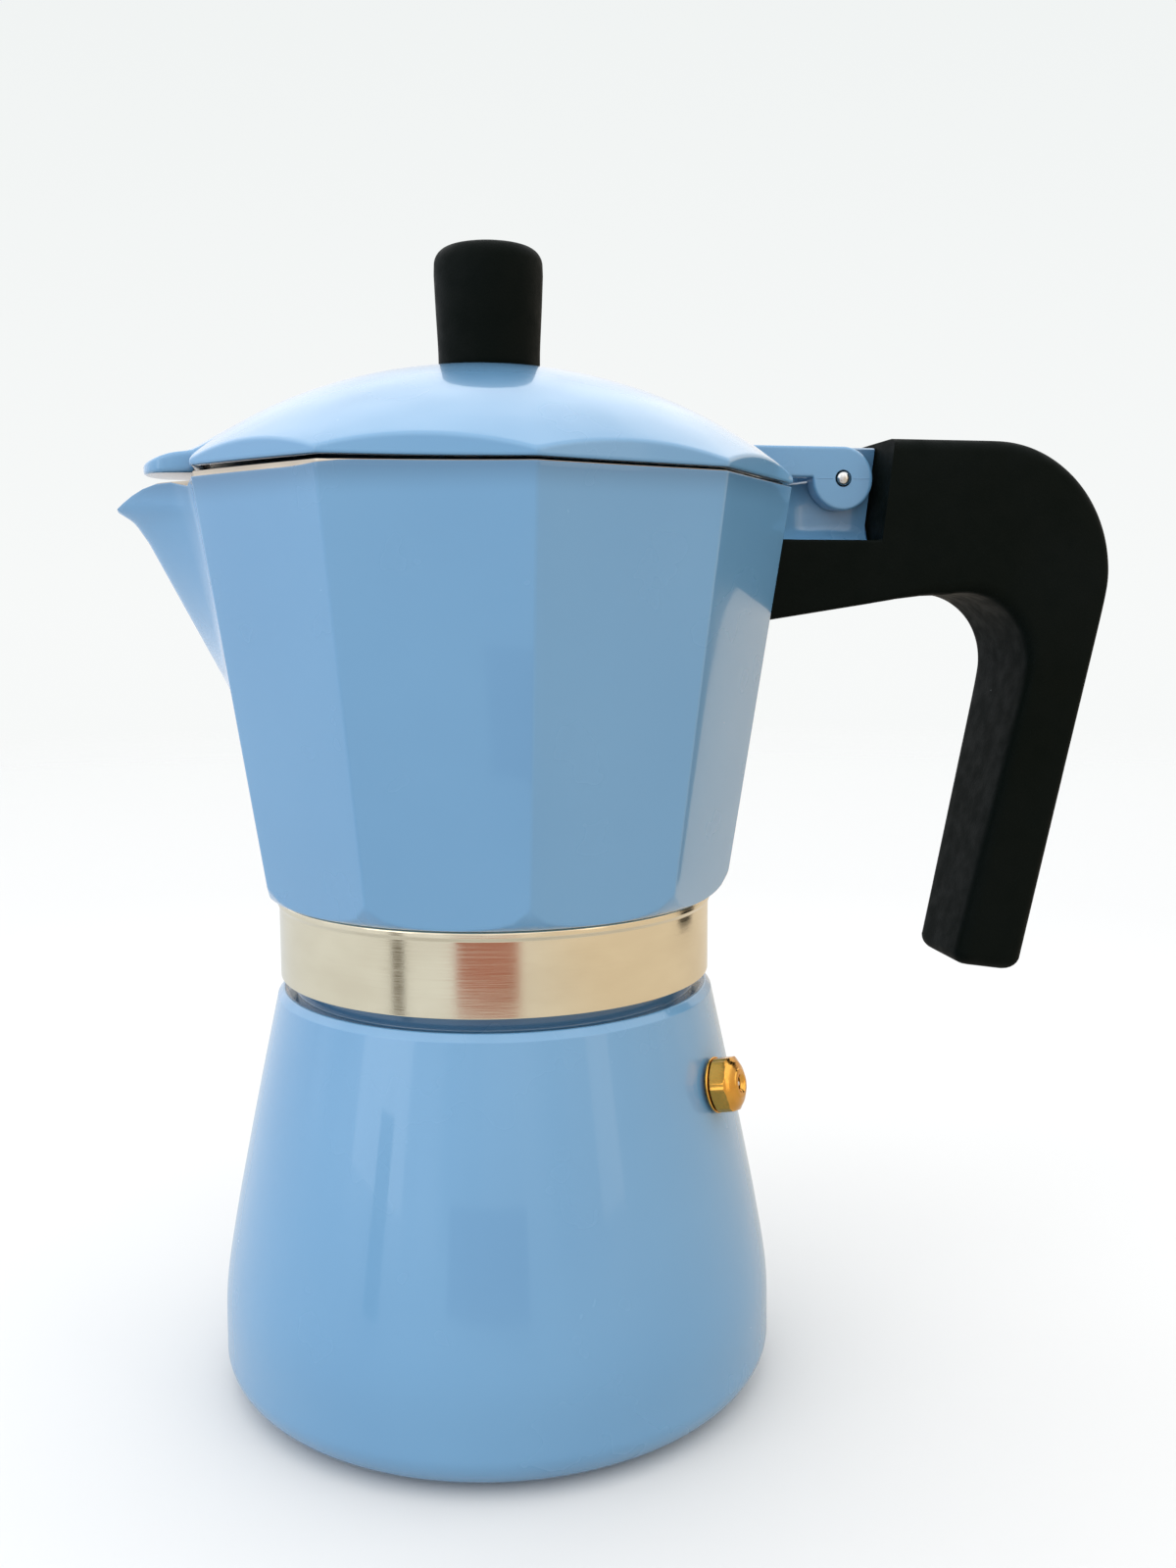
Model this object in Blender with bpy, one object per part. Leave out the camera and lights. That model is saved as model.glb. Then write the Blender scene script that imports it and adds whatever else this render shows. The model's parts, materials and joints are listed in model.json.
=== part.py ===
"""Stovetop moka pot: boiler with safety valve, coffee funnel, seal, ten-sided collector, lid and handle.

Metres, +Z up. The origin is the centre of the flat base. The handle points along +X and the spout along -X.
"""

import math

import bmesh
import bpy
import numpy as np
from mathutils import Matrix, Vector

MM = 0.001
GAP = 0.3  # millimetres between pieces that touch on the real pot

# Driving dimensions, in millimetres.
FACETS = 10
COLUMNS = 60
STEPS = 40
NUT_COLUMNS = 24

BOILER_WALL = 2.6
BASE_RADIUS = 51.0
SHOULDER_Z = 73.0
MOUTH_RADIUS = 33.2
MOUTH_Z = 86.0
NECK_RADIUS = 36.6

COLLAR_RADIUS = 39.45
COLLAR_BORE = 37.1
COLLAR_LOW, COLLAR_TOP = 75.8, 90.0

RIM_Z = 162.9
RIM_RADIUS = 54.0  # across the corners, at the rim
FLARE = 0.155  # millimetres of corner radius for each millimetre of height
PAINT_TOP_DROP = 0.9
VESSEL_WALL = 2.2
FLOOR_Z = 94.7
ROUND_TOP_Z = 97.5
COLUMN_HOLE = 6.3

SPOUT_LOW_Z = 125.5
SPOUT_TIP = (65.5, 158.8)

LID_LOW_Z = 163.4
LID_RADIUS = 54.2
DOME_TOP_Z = 184.1
DOME_SPHERE = 84.5
LID_WALL = 2.0
KNOB_RADIUS = 9.7
KNOB_TOP_Z = 205.0

PIN_X, PIN_Z = 64.4, 165.3
PIN_RADIUS = 1.25
EAR_RADIUS = 5.8
EAR_OUTER_Y = 7.2
EAR_INNER_Y = 3.6
TONGUE_Y = 3.2
HANDLE_HALF_WIDTH = 12.0
SCREW_X = 60.5

HOLE_RINGS = [(8, 6), (16, 12), (24, 16)]  # in both perforated plates: ring radius and number of holes
HOLE_RADIUS = 1.1

VALVE_Z = 58.0
VALVE_TURN = math.radians(-36)  # about Z, from the handle towards the front
VALVE_TILT = math.radians(11.3)  # the wall's slope, so that the valve stands square to it
VALVE_WALL_RADIUS = 43.4
HEXAGON_TURN = math.radians(20)  # about the valve's own axis

FINISHES = {
    "painted_blue": ((0.21, 0.44, 0.67), 0.25, 0.0),
    "bare_aluminium": ((0.72, 0.68, 0.60), 0.30, 1.0),
    "black_plastic": ((0.010, 0.012, 0.011), 0.45, 0.0),
    "steel": ((0.60, 0.60, 0.60), 0.25, 1.0),
    "brass": ((0.72, 0.45, 0.14), 0.25, 1.0),
    "white_rubber": ((0.80, 0.78, 0.72), 0.60, 0.0),
}


def clear_scene():
    for obj in list(bpy.data.objects):
        bpy.data.objects.remove(obj, do_unlink=True)


def material(finish):
    """The Principled material of this name, made on first use."""
    found = bpy.data.materials.get(finish)
    if found:
        return found
    colour, roughness, metallic = FINISHES[finish]
    made = bpy.data.materials.new(finish)
    made.use_nodes = True
    shader = made.node_tree.nodes["Principled BSDF"]
    shader.inputs["Base Color"].default_value = (*colour, 1.0)
    shader.inputs["Roughness"].default_value = roughness
    shader.inputs["Metallic"].default_value = metallic
    return made


def add_object(name, bm, finish):
    """Closes a bmesh into an object with outward normals and smooth round faces, and turns mm into metres."""
    bmesh.ops.remove_doubles(bm, verts=bm.verts, dist=1e-4)
    bmesh.ops.recalc_face_normals(bm, faces=bm.faces)
    bmesh.ops.scale(bm, vec=(MM, MM, MM), verts=bm.verts)
    mesh = bpy.data.meshes.new(name)
    bm.to_mesh(mesh)
    bm.free()
    mesh.shade_smooth()
    mesh.set_sharp_from_angle(angle=math.radians(30))
    obj = bpy.data.objects.new(name, mesh)
    mesh.materials.append(material(finish))
    bpy.context.scene.collection.objects.link(obj)
    return obj


def spin_about(bm, geometry, centre, axis, steps):
    bmesh.ops.spin(bm, geom=geometry, cent=centre, axis=axis, angle=math.tau, steps=steps)


def turned(name, profile, finish, steps=STEPS):
    """A profile of (radius, height) turned about Z. One that starts off the axis is closed into a ring."""
    bm = bmesh.new()
    verts = [bm.verts.new((radius, 0, height)) for radius, height in profile]
    edges = [bm.edges.new(pair) for pair in zip(verts, verts[1:])]
    if profile[0][0] > 0:
        edges.append(bm.edges.new((verts[-1], verts[0])))
    spin_about(bm, verts + edges, (0, 0, 0), (0, 0, 1), steps)
    return add_object(name, bm, finish)


def ring_solid(name, rows, finish):
    """A solid with a hole: closed rows of points, of which the last joins the first."""
    bm = bmesh.new()
    grid = [[bm.verts.new(point) for point in row] for row in rows]
    count = len(grid[0])
    for this, following in zip(grid, grid[1:] + grid[:1]):
        for j in range(count):
            k = (j + 1) % count
            bm.faces.new((this[j], this[k], following[k], following[j]))
    return add_object(name, bm, finish)


def extruded(name, outline, low, high, finish, axis="Y"):
    """A flat outline pushed between two levels. It is (x, z) for axis Y, and (x, y) for axis Z."""
    bm = bmesh.new()

    def point(a, b, level):
        return (a, level, b) if axis == "Y" else (a, b, level)

    lower = [bm.verts.new(point(a, b, low)) for a, b in outline]
    upper = [bm.verts.new(point(a, b, high)) for a, b in outline]
    bm.faces.new(lower)
    bm.faces.new(upper[::-1])
    count = len(outline)
    for j in range(count):
        k = (j + 1) % count
        bm.faces.new((lower[j], upper[j], upper[k], lower[k]))
    return add_object(name, bm, finish)


def add_cylinder(bm, radius, depth, place, steps):
    bmesh.ops.create_cone(
        bm, cap_ends=True, segments=steps, radius1=radius, radius2=radius, depth=depth, matrix=place
    )


def rod(name, radius, start, end, finish="steel", steps=24):
    """A round bar between two points."""
    bm = bmesh.new()
    start, end = Vector(start), Vector(end)
    turn = (end - start).to_track_quat("Z", "Y").to_matrix().to_4x4()
    place = Matrix.Translation((start + end) / 2) @ turn
    add_cylinder(bm, radius, (end - start).length, place, steps)
    return add_object(name, bm, finish)


def helper(obj):
    """Marks an object that only shapes others."""
    obj.hide_render = True
    obj.display_type = "WIRE"
    return obj


def boolean(obj, other, operation):
    modifier = obj.modifiers.new(other.name, "BOOLEAN")
    modifier.operation = operation
    modifier.solver = "EXACT"
    modifier.object = helper(other)


def empty_at(name, location, rotation=None):
    pivot = bpy.data.objects.new(name, None)
    bpy.context.scene.collection.objects.link(pivot)
    pivot.matrix_world = Matrix.Translation(Vector(location) * MM) @ (rotation or Matrix())
    return pivot


def hang_on(pivot, objects, keep_place=True):
    """Parents objects to a pivot. Those modelled in its own frame move with it, the others stay put."""
    for obj in objects:
        obj.parent = pivot
        if keep_place:
            obj.matrix_parent_inverse = pivot.matrix_world.inverted()


def arc(centre, radii, start_deg, end_deg, count):
    """Points on an ellipse, from one angle to another."""
    angles = np.radians(np.linspace(start_deg, end_deg, count))
    return [(centre[0] + radii[0] * math.cos(t), centre[1] + radii[1] * math.sin(t)) for t in angles]


def polygon_radius(angles, corner_radius, sides, first_corner=0.0):
    """Distance from the centre to the side of a regular polygon, in each direction."""
    half = math.pi / sides
    return corner_radius * math.cos(half) / np.cos((angles - first_corner) % (2 * half) - half)


HALF_FACET = math.pi / FACETS
ANGLES = HALF_FACET + np.arange(COLUMNS) * math.tau / COLUMNS


def corner_radius(z):
    return RIM_RADIUS - FLARE * (RIM_Z - z)


def loop_of(radius, z):
    """Points round the axis. The radius and the height may each differ from column to column."""
    radius = np.broadcast_to(radius, COLUMNS)
    z = np.broadcast_to(z, COLUMNS)
    places = np.stack([radius * np.cos(ANGLES), radius * np.sin(ANGLES), z], axis=1)
    return [tuple(place) for place in places]


# ---- boiler and safety valve ----


def smooth_through(points, count):
    """A Catmull-Rom curve through (radius, height) points."""
    before = 2 * np.array(points[0]) - points[1]
    after = 2 * np.array(points[-1]) - points[-2]
    path = np.array([before, *points, after])
    curve = []
    for t in np.linspace(0, len(points) - 1, count):
        k = min(int(t), len(points) - 2)
        u = t - k
        a, b, c, d = path[k : k + 4]
        point = b + 0.5 * u * (c - a + u * (2 * a - 5 * b + 4 * c - d + u * (3 * (b - c) + d - a)))
        curve.append((float(point[0]), float(point[1])))
    return curve


def make_boiler():
    foot = arc((41.7, 7.2), (BASE_RADIUS - 41.7, 7.2), -90, 0, 6)
    flare = [(BASE_RADIUS, 7.2), (50.7, 18.6), (48.8, 30.6), (46.4, 42.7), (43.9, 54.7), (41.3, 66.7)]
    wall = smooth_through(flare, 7)
    shoulder = [(40.15, 71.6), (39.9, 72.6), (39.3, 73.3), (37.9, 74.4), (NECK_RADIUS, 74.7)]
    outer = foot + wall[1:] + shoulder + [(NECK_RADIUS, MOUTH_Z - 0.5), (NECK_RADIUS - 0.5, MOUTH_Z)]
    inner = [(MOUTH_RADIUS, MOUTH_Z), (MOUTH_RADIUS, SHOULDER_Z), (37.2, 69.0)]
    inner += [(radius - BOILER_WALL, z) for radius, z in wall[::-1][1:-1]]
    inner += [(BASE_RADIUS - BOILER_WALL, 9.5), (46.2, 5.0), (42.0, 3.2), (0, 3.2)]
    boiler = turned("boiler", [(0, 0)] + outer + inner, "painted_blue")
    hole = rod("valve_hole", 3.5, (0, 0, -8), (0, 0, 3))
    boolean(boiler, hole, "DIFFERENCE")
    return boiler, hole


def nut_loop(z, radius, across_flats=None):
    """A row of a hexagonal piece: the flats trimmed to a radius, or a plain circle."""
    angles = np.arange(NUT_COLUMNS) * math.tau / NUT_COLUMNS
    if across_flats:
        radius = np.minimum(radius, polygon_radius(angles, across_flats / math.sqrt(3), 6))
    x, y = radius * np.cos(angles), radius * np.sin(angles)
    return [(a, b, z) for a, b in zip(x, y)]


def hexagon_ring(name, across_flats, bore, low, high, finish):
    """A hexagon nut with chamfered corners."""
    chamfer = across_flats * 0.52
    rows = [
        nut_loop(low, bore),
        nut_loop(low, chamfer, across_flats),
        nut_loop(low + 0.4, across_flats, across_flats),
        nut_loop(high - 0.4, across_flats, across_flats),
        nut_loop(high, chamfer, across_flats),
        nut_loop(high, bore),
    ]
    return ring_solid(name, rows, finish)


def make_valve():
    """The pieces in the valve's own frame: +Z points out of the boiler, and 0 is the wall's outer face."""
    washer = turned("valve_washer", [(3.5, 0.35), (4.9, 0.35), (4.9, 0.8), (3.5, 0.8)], "brass", 32)
    flats = 9.2
    rows = [
        nut_loop(-6.2, 2.0),
        nut_loop(-6.2, 3.1),
        nut_loop(1.1, 3.1),
        nut_loop(1.1, 4.9, flats),
        nut_loop(1.5, flats, flats),
        nut_loop(3.5, flats, flats),
        nut_loop(4.0, 4.65, flats),
        nut_loop(4.5, 3.9),
        nut_loop(5.0, 3.0),
        nut_loop(5.3, 1.9),
        nut_loop(5.3, 1.1),
        nut_loop(3.8, 1.1),
        nut_loop(3.8, 2.0),
    ]
    body = ring_solid("valve_body", rows, "brass")
    body.data.transform(Matrix.Rotation(HEXAGON_TURN, 4, "Z"))
    nut = hexagon_ring("valve_nut", 9.0, 3.5, -5.9, -BOILER_WALL - 3 * GAP, "brass")
    seat = turned("valve_seat", [(0.9, -6.1), (1.7, -6.1), (1.7, -4.8), (0.9, -4.8)], "brass", 16)
    plug = [(0, -4.4), (1.0, -4.4), (1.6, -3.8), (1.6, -3.1)]
    stem = [(0.75, -3.1), (0.75, 4.4), (0.45, 4.7), (0, 4.8)]
    pin = turned("valve_pin", plug + stem, "steel", 16)
    spring = make_spring("valve_spring", 1.35, 0.22, -2.5, 3.3, 5)
    return [washer, body, nut, seat, pin, spring]


def make_spring(name, radius, wire, low, high, turns):
    """A closed wire along a helix."""
    curve = bpy.data.curves.new(name, "CURVE")
    curve.dimensions = "3D"
    curve.bevel_depth = wire * MM
    curve.bevel_resolution = 1
    curve.use_fill_caps = True
    count = 10 * turns + 1
    spline = curve.splines.new("POLY")
    spline.points.add(count - 1)
    for point, t in zip(spline.points, np.linspace(0, 1, count)):
        angle = t * turns * math.tau
        place = (radius * math.cos(angle), radius * math.sin(angle), low + t * (high - low))
        point.co = (*(value * MM for value in place), 1)
    curve.materials.append(material("steel"))
    spring = bpy.data.objects.new(name, curve)
    bpy.context.scene.collection.objects.link(spring)
    return spring


# ---- coffee funnel and seal ----


def make_funnel():
    outer = [(35.6, 87.2), (35.6, 86.3), (31.9, 86.3), (31.6, 86.0), (31.6, 62.5), (29.5, 60.6)]
    outer += [(8.0, 52.0), (5.0, 49.0), (4.7, 46.0), (4.7, 6.6)]
    inner = [(3.8, 6.6), (3.8, 46.5), (4.3, 50.0), (7.4, 53.0), (28.8, 61.6)]
    inner += [(28.8, 64.0), (30.8, 64.0), (30.8, 87.2)]
    return turned("funnel", outer + inner, "bare_aluminium")


def perforated(name, radius, low, high, rings, hole_radius, finish):
    """A disc with rings of round holes, as (ring radius, number of holes)."""
    disc = turned(name, [(0, high), (radius, high), (radius, low), (0, low)], finish)
    bm = bmesh.new()
    for ring_radius, count in rings:
        for i in range(count):
            turn = math.tau * i / count
            place = (ring_radius * math.cos(turn), ring_radius * math.sin(turn), (low + high) / 2)
            add_cylinder(bm, hole_radius, high - low + 2, Matrix.Translation(place), 5)
    boolean(disc, add_object(name + "_holes", bm, finish), "DIFFERENCE")
    return disc


def make_seal():
    section = [(29.8, 87.6), (35.4, 87.6), (35.6, 87.9), (35.6, 90.1), (35.4, 90.4), (29.8, 90.4)]
    gasket = turned("gasket", section, "white_rubber")
    plate = perforated("filter_plate", 35.6, 90.7, 91.4, HOLE_RINGS, HOLE_RADIUS, "steel")
    return gasket, plate


# ---- collector ----


def spout_ridge(z):
    """How far the spout's ridge stands from the axis at this height."""
    heights = [SPOUT_LOW_Z, 152.3, 154.4, 157.2, SPOUT_TIP[1]]
    reach = [corner_radius(SPOUT_LOW_Z) * math.cos(HALF_FACET), 59.5, 60.4, 62.7, SPOUT_TIP[0]]
    return float(np.interp(z, heights, reach))


def spout_share(column):
    """0 away from the spout facet and on its corners, rising to 1 on the ridge opposite the handle."""
    away = abs(ANGLES[column] - math.pi)
    return max(0.0, 1 - away / HALF_FACET)


def wall_point(column, height_share, inset, ridge_inset, foot_z):
    """A point on the ten-sided wall. height_share is 0 at foot_z and 1 at the rim, dipping at the spout."""
    share = spout_share(column)
    dip = (RIM_Z - SPOUT_TIP[1]) * max(0.0, (share - 0.5) / 0.5) ** 1.4
    z = foot_z + height_share * (RIM_Z - dip - foot_z)
    flat = polygon_radius(ANGLES[column], corner_radius(z), FACETS, HALF_FACET) - inset
    x, y = flat * math.cos(ANGLES[column]), flat * math.sin(ANGLES[column])
    ridge = spout_ridge(z) - ridge_inset
    if share > 0 and z > SPOUT_LOW_Z and ridge > flat:
        corner = corner_radius(z) - inset / math.cos(HALF_FACET)
        edge_x = -corner * math.cos(HALF_FACET)
        edge_y = math.copysign(corner * math.sin(HALF_FACET), y)
        x = edge_x + share * (-ridge - edge_x)
        y = edge_y * (1 - share)
    return (x, y, z)


def round_limit(z):
    """The turned surface that trims the facets where they run down to the round neck."""
    drop = (ROUND_TOP_Z - z) / (ROUND_TOP_Z - COLLAR_TOP - GAP)
    return COLLAR_RADIUS + 4.3 * math.sqrt(max(0.0, 1 - drop * drop))


def make_collector():
    def wall_row(share, inset=0.0, ridge_inset=0.0, foot_z=ROUND_TOP_Z):
        return [wall_point(j, share, inset, ridge_inset, foot_z) for j in range(COLUMNS)]

    low = COLLAR_TOP + GAP
    rows = [loop_of(36.0, low)]
    for z in (low, low + 0.5, low + 1.4, low + 2.9, low + 4.9):
        flats = polygon_radius(ANGLES, corner_radius(z), FACETS, HALF_FACET)
        rows.append(loop_of(np.minimum(flats, round_limit(z)), z))
    height = RIM_Z - ROUND_TOP_Z
    levels = [(z - ROUND_TOP_Z) / height for z in (ROUND_TOP_Z, SPOUT_LOW_Z, 139.0, 153.0, 156.0, 159.0)]
    levels.append(1 - PAINT_TOP_DROP / height)
    rows += [wall_row(share) for share in levels]
    rows += [wall_row(levels[-1], 0.35, 0.4), wall_row(1, 0.35, 0.4)]
    rows += [wall_row(share, VESSEL_WALL, 2.6) for share in [1] + levels[:-1][::-1]]
    rows += [loop_of(37.5, 95.3), loop_of(34.0, FLOOR_Z), loop_of(COLUMN_HOLE, FLOOR_Z)]
    rows += [loop_of(COLUMN_HOLE, FLOOR_Z - 3), loop_of(36.0, FLOOR_Z - 3)]
    collector = ring_solid("collector", rows, "painted_blue")

    outline = [(49.3, 154.2), (69.95, 154.2), (72.05, 171.5), (65.4, 171.5)]
    outline += arc((PIN_X, PIN_Z), (5.4, 5.4), 75, 180, 8) + [(57.0, 163.4), (50.4, 162.3)]
    boolean(collector, extruded("bracket_tongue", outline, -TONGUE_Y, TONGUE_Y, "painted_blue"), "UNION")
    spread = [(x, TONGUE_Y + 5.3 * ((58 - x) / 8.8) ** 2) for x in np.linspace(58, 49.4, 6)]
    foot = spread + [(x, -y) for x, y in spread[::-1]]
    boolean(collector, extruded("bracket_foot", foot, 154.2, 161.8, "painted_blue", "Z"), "UNION")
    pin_hole = rod("pin_hole", PIN_RADIUS + GAP, (PIN_X, -9, PIN_Z), (PIN_X, 9, PIN_Z))
    boolean(collector, pin_hole, "DIFFERENCE")
    screw_hole = rod("screw_hole", 1.95, (SCREW_X, 0, 150), (SCREW_X, 0, 161.2), steps=16)
    boolean(collector, screw_hole, "DIFFERENCE")
    return collector, pin_hole


def make_collar():
    low, top, radius = COLLAR_LOW, COLLAR_TOP, COLLAR_RADIUS
    outer = [(radius - 0.3, low), (radius, low + 0.4), (radius, top - 1.6)]
    lip = [(radius + 0.35, top - 0.9), (radius + 0.2, top - 0.2), (radius - 0.25, top)]
    return turned("threaded_collar", outer + lip + [(COLLAR_BORE, top), (COLLAR_BORE, low)], "bare_aluminium")


def make_column():
    foot = [(COLUMN_HOLE - GAP, 92.0), (COLUMN_HOLE - GAP, FLOOR_Z + GAP), (9.5, FLOOR_Z + GAP), (9.5, 96.2)]
    tube = [(7.6, 98.0), (6.8, 102.0), (5.6, 142.5), (5.2, 143.0), (3.3, 143.0), (3.3, 92.0)]
    column = turned("riser_column", foot + tube, "bare_aluminium", 32)
    skirt = [(5.9, 134.0), (7.0, 134.0), (6.8, 145.0)]
    crown = arc((0, 145.0), (6.8, 4.6), 15, 90, 6)
    crown[-1] = (0, 149.6)
    inside = [(0, 147.6), (4.0, 146.6), (5.9, 144.0)]
    # The profile starts on the axis at the top, so the open foot closes it below.
    cap = turned("column_cap", crown[::-1] + skirt[::-1] + inside[::-1], "bare_aluminium", 32)
    slot = [(-2.6, 143.6), (2.6, 143.6), (2.6, 146.0), (-2.6, 146.0)]
    boolean(cap, extruded("cap_slots", slot, -9, 9, "bare_aluminium"), "DIFFERENCE")
    return column, cap


# ---- lid ----


def dome(radius):
    return DOME_TOP_Z - DOME_SPHERE + np.sqrt(DOME_SPHERE**2 - np.square(radius))


def make_lid(pin_hole):
    edge = polygon_radius(ANGLES, LID_RADIUS, FACETS, HALF_FACET)
    inner_edge = edge - LID_WALL
    screw_hole = 2.3
    rows = []
    for reach in (screw_hole, 12, 24, 35, 44, 50, 52.2, LID_RADIUS):
        radius = np.minimum(reach, edge)
        rows.append(loop_of(radius, dome(radius)))
    rows += [loop_of(edge, LID_LOW_Z), loop_of(inner_edge, LID_LOW_Z)]
    for reach in (49.4, 42, 30, 16, screw_hole):
        radius = np.minimum(reach, inner_edge)
        rows.append(loop_of(radius, dome(radius) - LID_WALL))
    lid = ring_solid("lid", rows, "painted_blue")
    boolean(lid, make_lip(), "UNION")
    arm = [(45.2, 170.2), (50.0, 166.9), (50.6, PIN_Z), (PIN_X - EAR_RADIUS, PIN_Z)]
    arm += arc((PIN_X, PIN_Z), (EAR_RADIUS, EAR_RADIUS), 195, 450, 16) + [(46.0, PIN_Z + EAR_RADIUS)]
    boolean(lid, extruded("lid_arm", arm, -EAR_OUTER_Y, EAR_OUTER_Y, "painted_blue"), "UNION")
    slot = [(55.4, 158.0), (74.0, 158.0), (74.0, 173.0), (55.4, 173.0)]
    boolean(lid, extruded("ear_slot", slot, -EAR_INNER_Y, EAR_INNER_Y, "painted_blue"), "DIFFERENCE")
    boolean(lid, pin_hole, "DIFFERENCE")
    return lid


def make_lip():
    """The thumb lip over the spout: flat below, with a top that slopes up to the dome."""
    corners = arc((-55.6, 0), (4.7, 7.6), 110, 250, 9)
    plan = corners + [(-50.2, -8.6), (-50.2, 8.6)]
    lip = extruded("lid_lip", plan, 164.7, 166.3, "painted_blue", "Z")
    for vertex in lip.data.vertices:
        if vertex.co.z > 165.5 * MM:
            vertex.co.z += 0.28 * (vertex.co.x + 60.3 * MM)
    return lip


def make_knob():
    base_edge = DOME_SPHERE + GAP
    centre_z = DOME_TOP_Z - DOME_SPHERE

    def base_z(radius):
        return centre_z + math.sqrt(base_edge**2 - radius**2)

    side = [(9.0, base_z(9.0)), (9.1, 187.5), (9.5, 194.0), (KNOB_RADIUS, 199.5), (9.55, KNOB_TOP_Z - 2.8)]
    top = arc((6.7, KNOB_TOP_Z - 2.8), (2.85, 2.8), 20, 90, 5) + [(0, KNOB_TOP_Z)]
    bore = [(0, 197.5), (3.3, 197.5), (3.3, base_z(3.3))]
    knob = turned("knob", top[::-1] + side[::-1] + bore[::-1], "black_plastic")
    insert = turned("knob_insert", [(1.9, 186.0), (3.0, 186.0), (3.0, 197.0), (1.9, 197.0)], "brass", 24)
    washer = turned("knob_washer", [(2.0, 180.9), (5.6, 180.9), (5.6, 181.7), (2.0, 181.7)], "steel", 24)
    screw = make_screw("knob_screw", 1.6, 3.6, 178.2, 180.6, 195.0)
    return knob, insert, washer, screw


def make_screw(name, shank, head, low, head_top, top, x=0.0):
    """A pan head screw that points up, with a straight slot across its head."""
    profile = [(0, top), (shank - 0.3, top), (shank, top - 0.5), (shank, head_top), (head, head_top)]
    profile += [(head, low + 0.9), (head - 0.7, low), (0, low)]
    screw = turned(name, profile, "steel", 24)
    slot = [(-head - 1, low - 1), (head + 1, low - 1), (head + 1, low + 0.9), (-head - 1, low + 0.9)]
    cutter = extruded(name + "_slot", slot, -0.5, 0.5, "steel")
    boolean(screw, cutter, "DIFFERENCE")
    for obj in (screw, cutter):
        obj.location.x = x * MM
    return screw


# ---- handle ----


def make_handle():
    outline = [(52.4, 172.3), (93.0, 172.3)]
    outline += arc((93.0, 148.0), (23.5, 24.3), 80, -6, 11)
    outline += arc((98.6, 74.2), (3.3, 3.3), -12, -100, 5)
    outline += arc((91.4, 76.0), (3.0, 3.0), -100, -192, 5)
    outline += arc((87.4, 131.0), (12.9, 13.3), -8, 94, 9)
    outline += [(78.0, 143.9), (48.75, 139.4)]
    handle = extruded("handle", outline, -HANDLE_HALF_WIDTH, HANDLE_HALF_WIDTH, "black_plastic")
    for vertex in handle.data.vertices:
        # The grip narrows steadily from its bend down to its end.
        down = max(0.0, 140.0 - vertex.co.z / MM)
        vertex.co.y *= 1 - 0.0043 * down * (vertex.co.x > 80 * MM)
    bevel = handle.modifiers.new("edges", "BEVEL")
    bevel.width = 2.6 * MM
    bevel.segments = 3
    bevel.limit_method = "ANGLE"
    bevel.angle_limit = math.radians(50)
    notch = [(30.0, 153.9), (70.3, 153.9), (72.5, 172.3), (73.0, 190.0), (30.0, 190.0)]
    boolean(handle, extruded("handle_notch", notch, -20, 20, "black_plastic"), "DIFFERENCE")
    boolean(handle, rod("screw_way", 2.0, (SCREW_X, 0, 130), (SCREW_X, 0, 158), steps=16), "DIFFERENCE")
    boolean(handle, rod("screw_counterbore", 4.3, (SCREW_X, 0, 130), (SCREW_X, 0, 147)), "DIFFERENCE")
    washer = turned("handle_washer", [(2.0, 145.9), (3.9, 145.9), (3.9, 146.7), (2.0, 146.7)], "steel", 24)
    washer.location.x = SCREW_X * MM
    screw = make_screw("handle_screw", 1.6, 3.5, 143.0, 145.6, 160.6, SCREW_X)
    return handle, washer, screw


def make_pin():
    """The hinge pin, with its domed ends just proud of the ears."""
    bm = bmesh.new()
    profile = [(0, -7.9), (0.8, -7.7), (PIN_RADIUS, -7.1), (PIN_RADIUS, 7.1), (0.8, 7.7), (0, 7.9)]
    verts = [bm.verts.new((PIN_X + radius, y, PIN_Z)) for radius, y in profile]
    edges = [bm.edges.new(pair) for pair in zip(verts, verts[1:])]
    spin_about(bm, verts + edges, (PIN_X, 0, PIN_Z), (0, 1, 0), 16)
    return add_object("hinge_pin", bm, "steel")


def main():
    clear_scene()
    _, valve_hole = make_boiler()
    valve_pieces = make_valve()
    outward = Matrix.Rotation(VALVE_TURN, 4, "Z") @ Matrix.Rotation(math.pi / 2 - VALVE_TILT, 4, "Y")
    root = (VALVE_WALL_RADIUS * math.cos(VALVE_TURN), VALVE_WALL_RADIUS * math.sin(VALVE_TURN), VALVE_Z)
    hang_on(empty_at("valve_axis", root, outward), valve_pieces + [valve_hole], keep_place=False)
    make_funnel()
    perforated("funnel_screen", 30.4, 64.4, 65.2, HOLE_RINGS, HOLE_RADIUS, "bare_aluminium")
    make_seal()
    _, pin_hole = make_collector()
    make_collar()
    make_column()
    lid = make_lid(pin_hole)
    hang_on(empty_at("lid_hinge_axis", (PIN_X, 0, PIN_Z)), [lid, *make_knob()])
    make_handle()
    make_pin()


main()
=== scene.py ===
import json
import math

import bmesh
import bpy
import numpy as np
from mathutils import Matrix, Vector


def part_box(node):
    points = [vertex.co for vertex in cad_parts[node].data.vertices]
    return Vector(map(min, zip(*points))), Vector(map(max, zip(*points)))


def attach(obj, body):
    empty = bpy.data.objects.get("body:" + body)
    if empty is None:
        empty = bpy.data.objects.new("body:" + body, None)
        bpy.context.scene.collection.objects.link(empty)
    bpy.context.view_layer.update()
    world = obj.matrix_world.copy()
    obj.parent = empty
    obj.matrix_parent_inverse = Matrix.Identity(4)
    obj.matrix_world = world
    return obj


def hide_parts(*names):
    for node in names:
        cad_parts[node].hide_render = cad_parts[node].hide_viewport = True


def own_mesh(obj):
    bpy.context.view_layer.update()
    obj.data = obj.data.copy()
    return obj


# Lengths are in millimetres here, and become metres where a mesh is filled.
mm = 0.001
tau = math.tau

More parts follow.
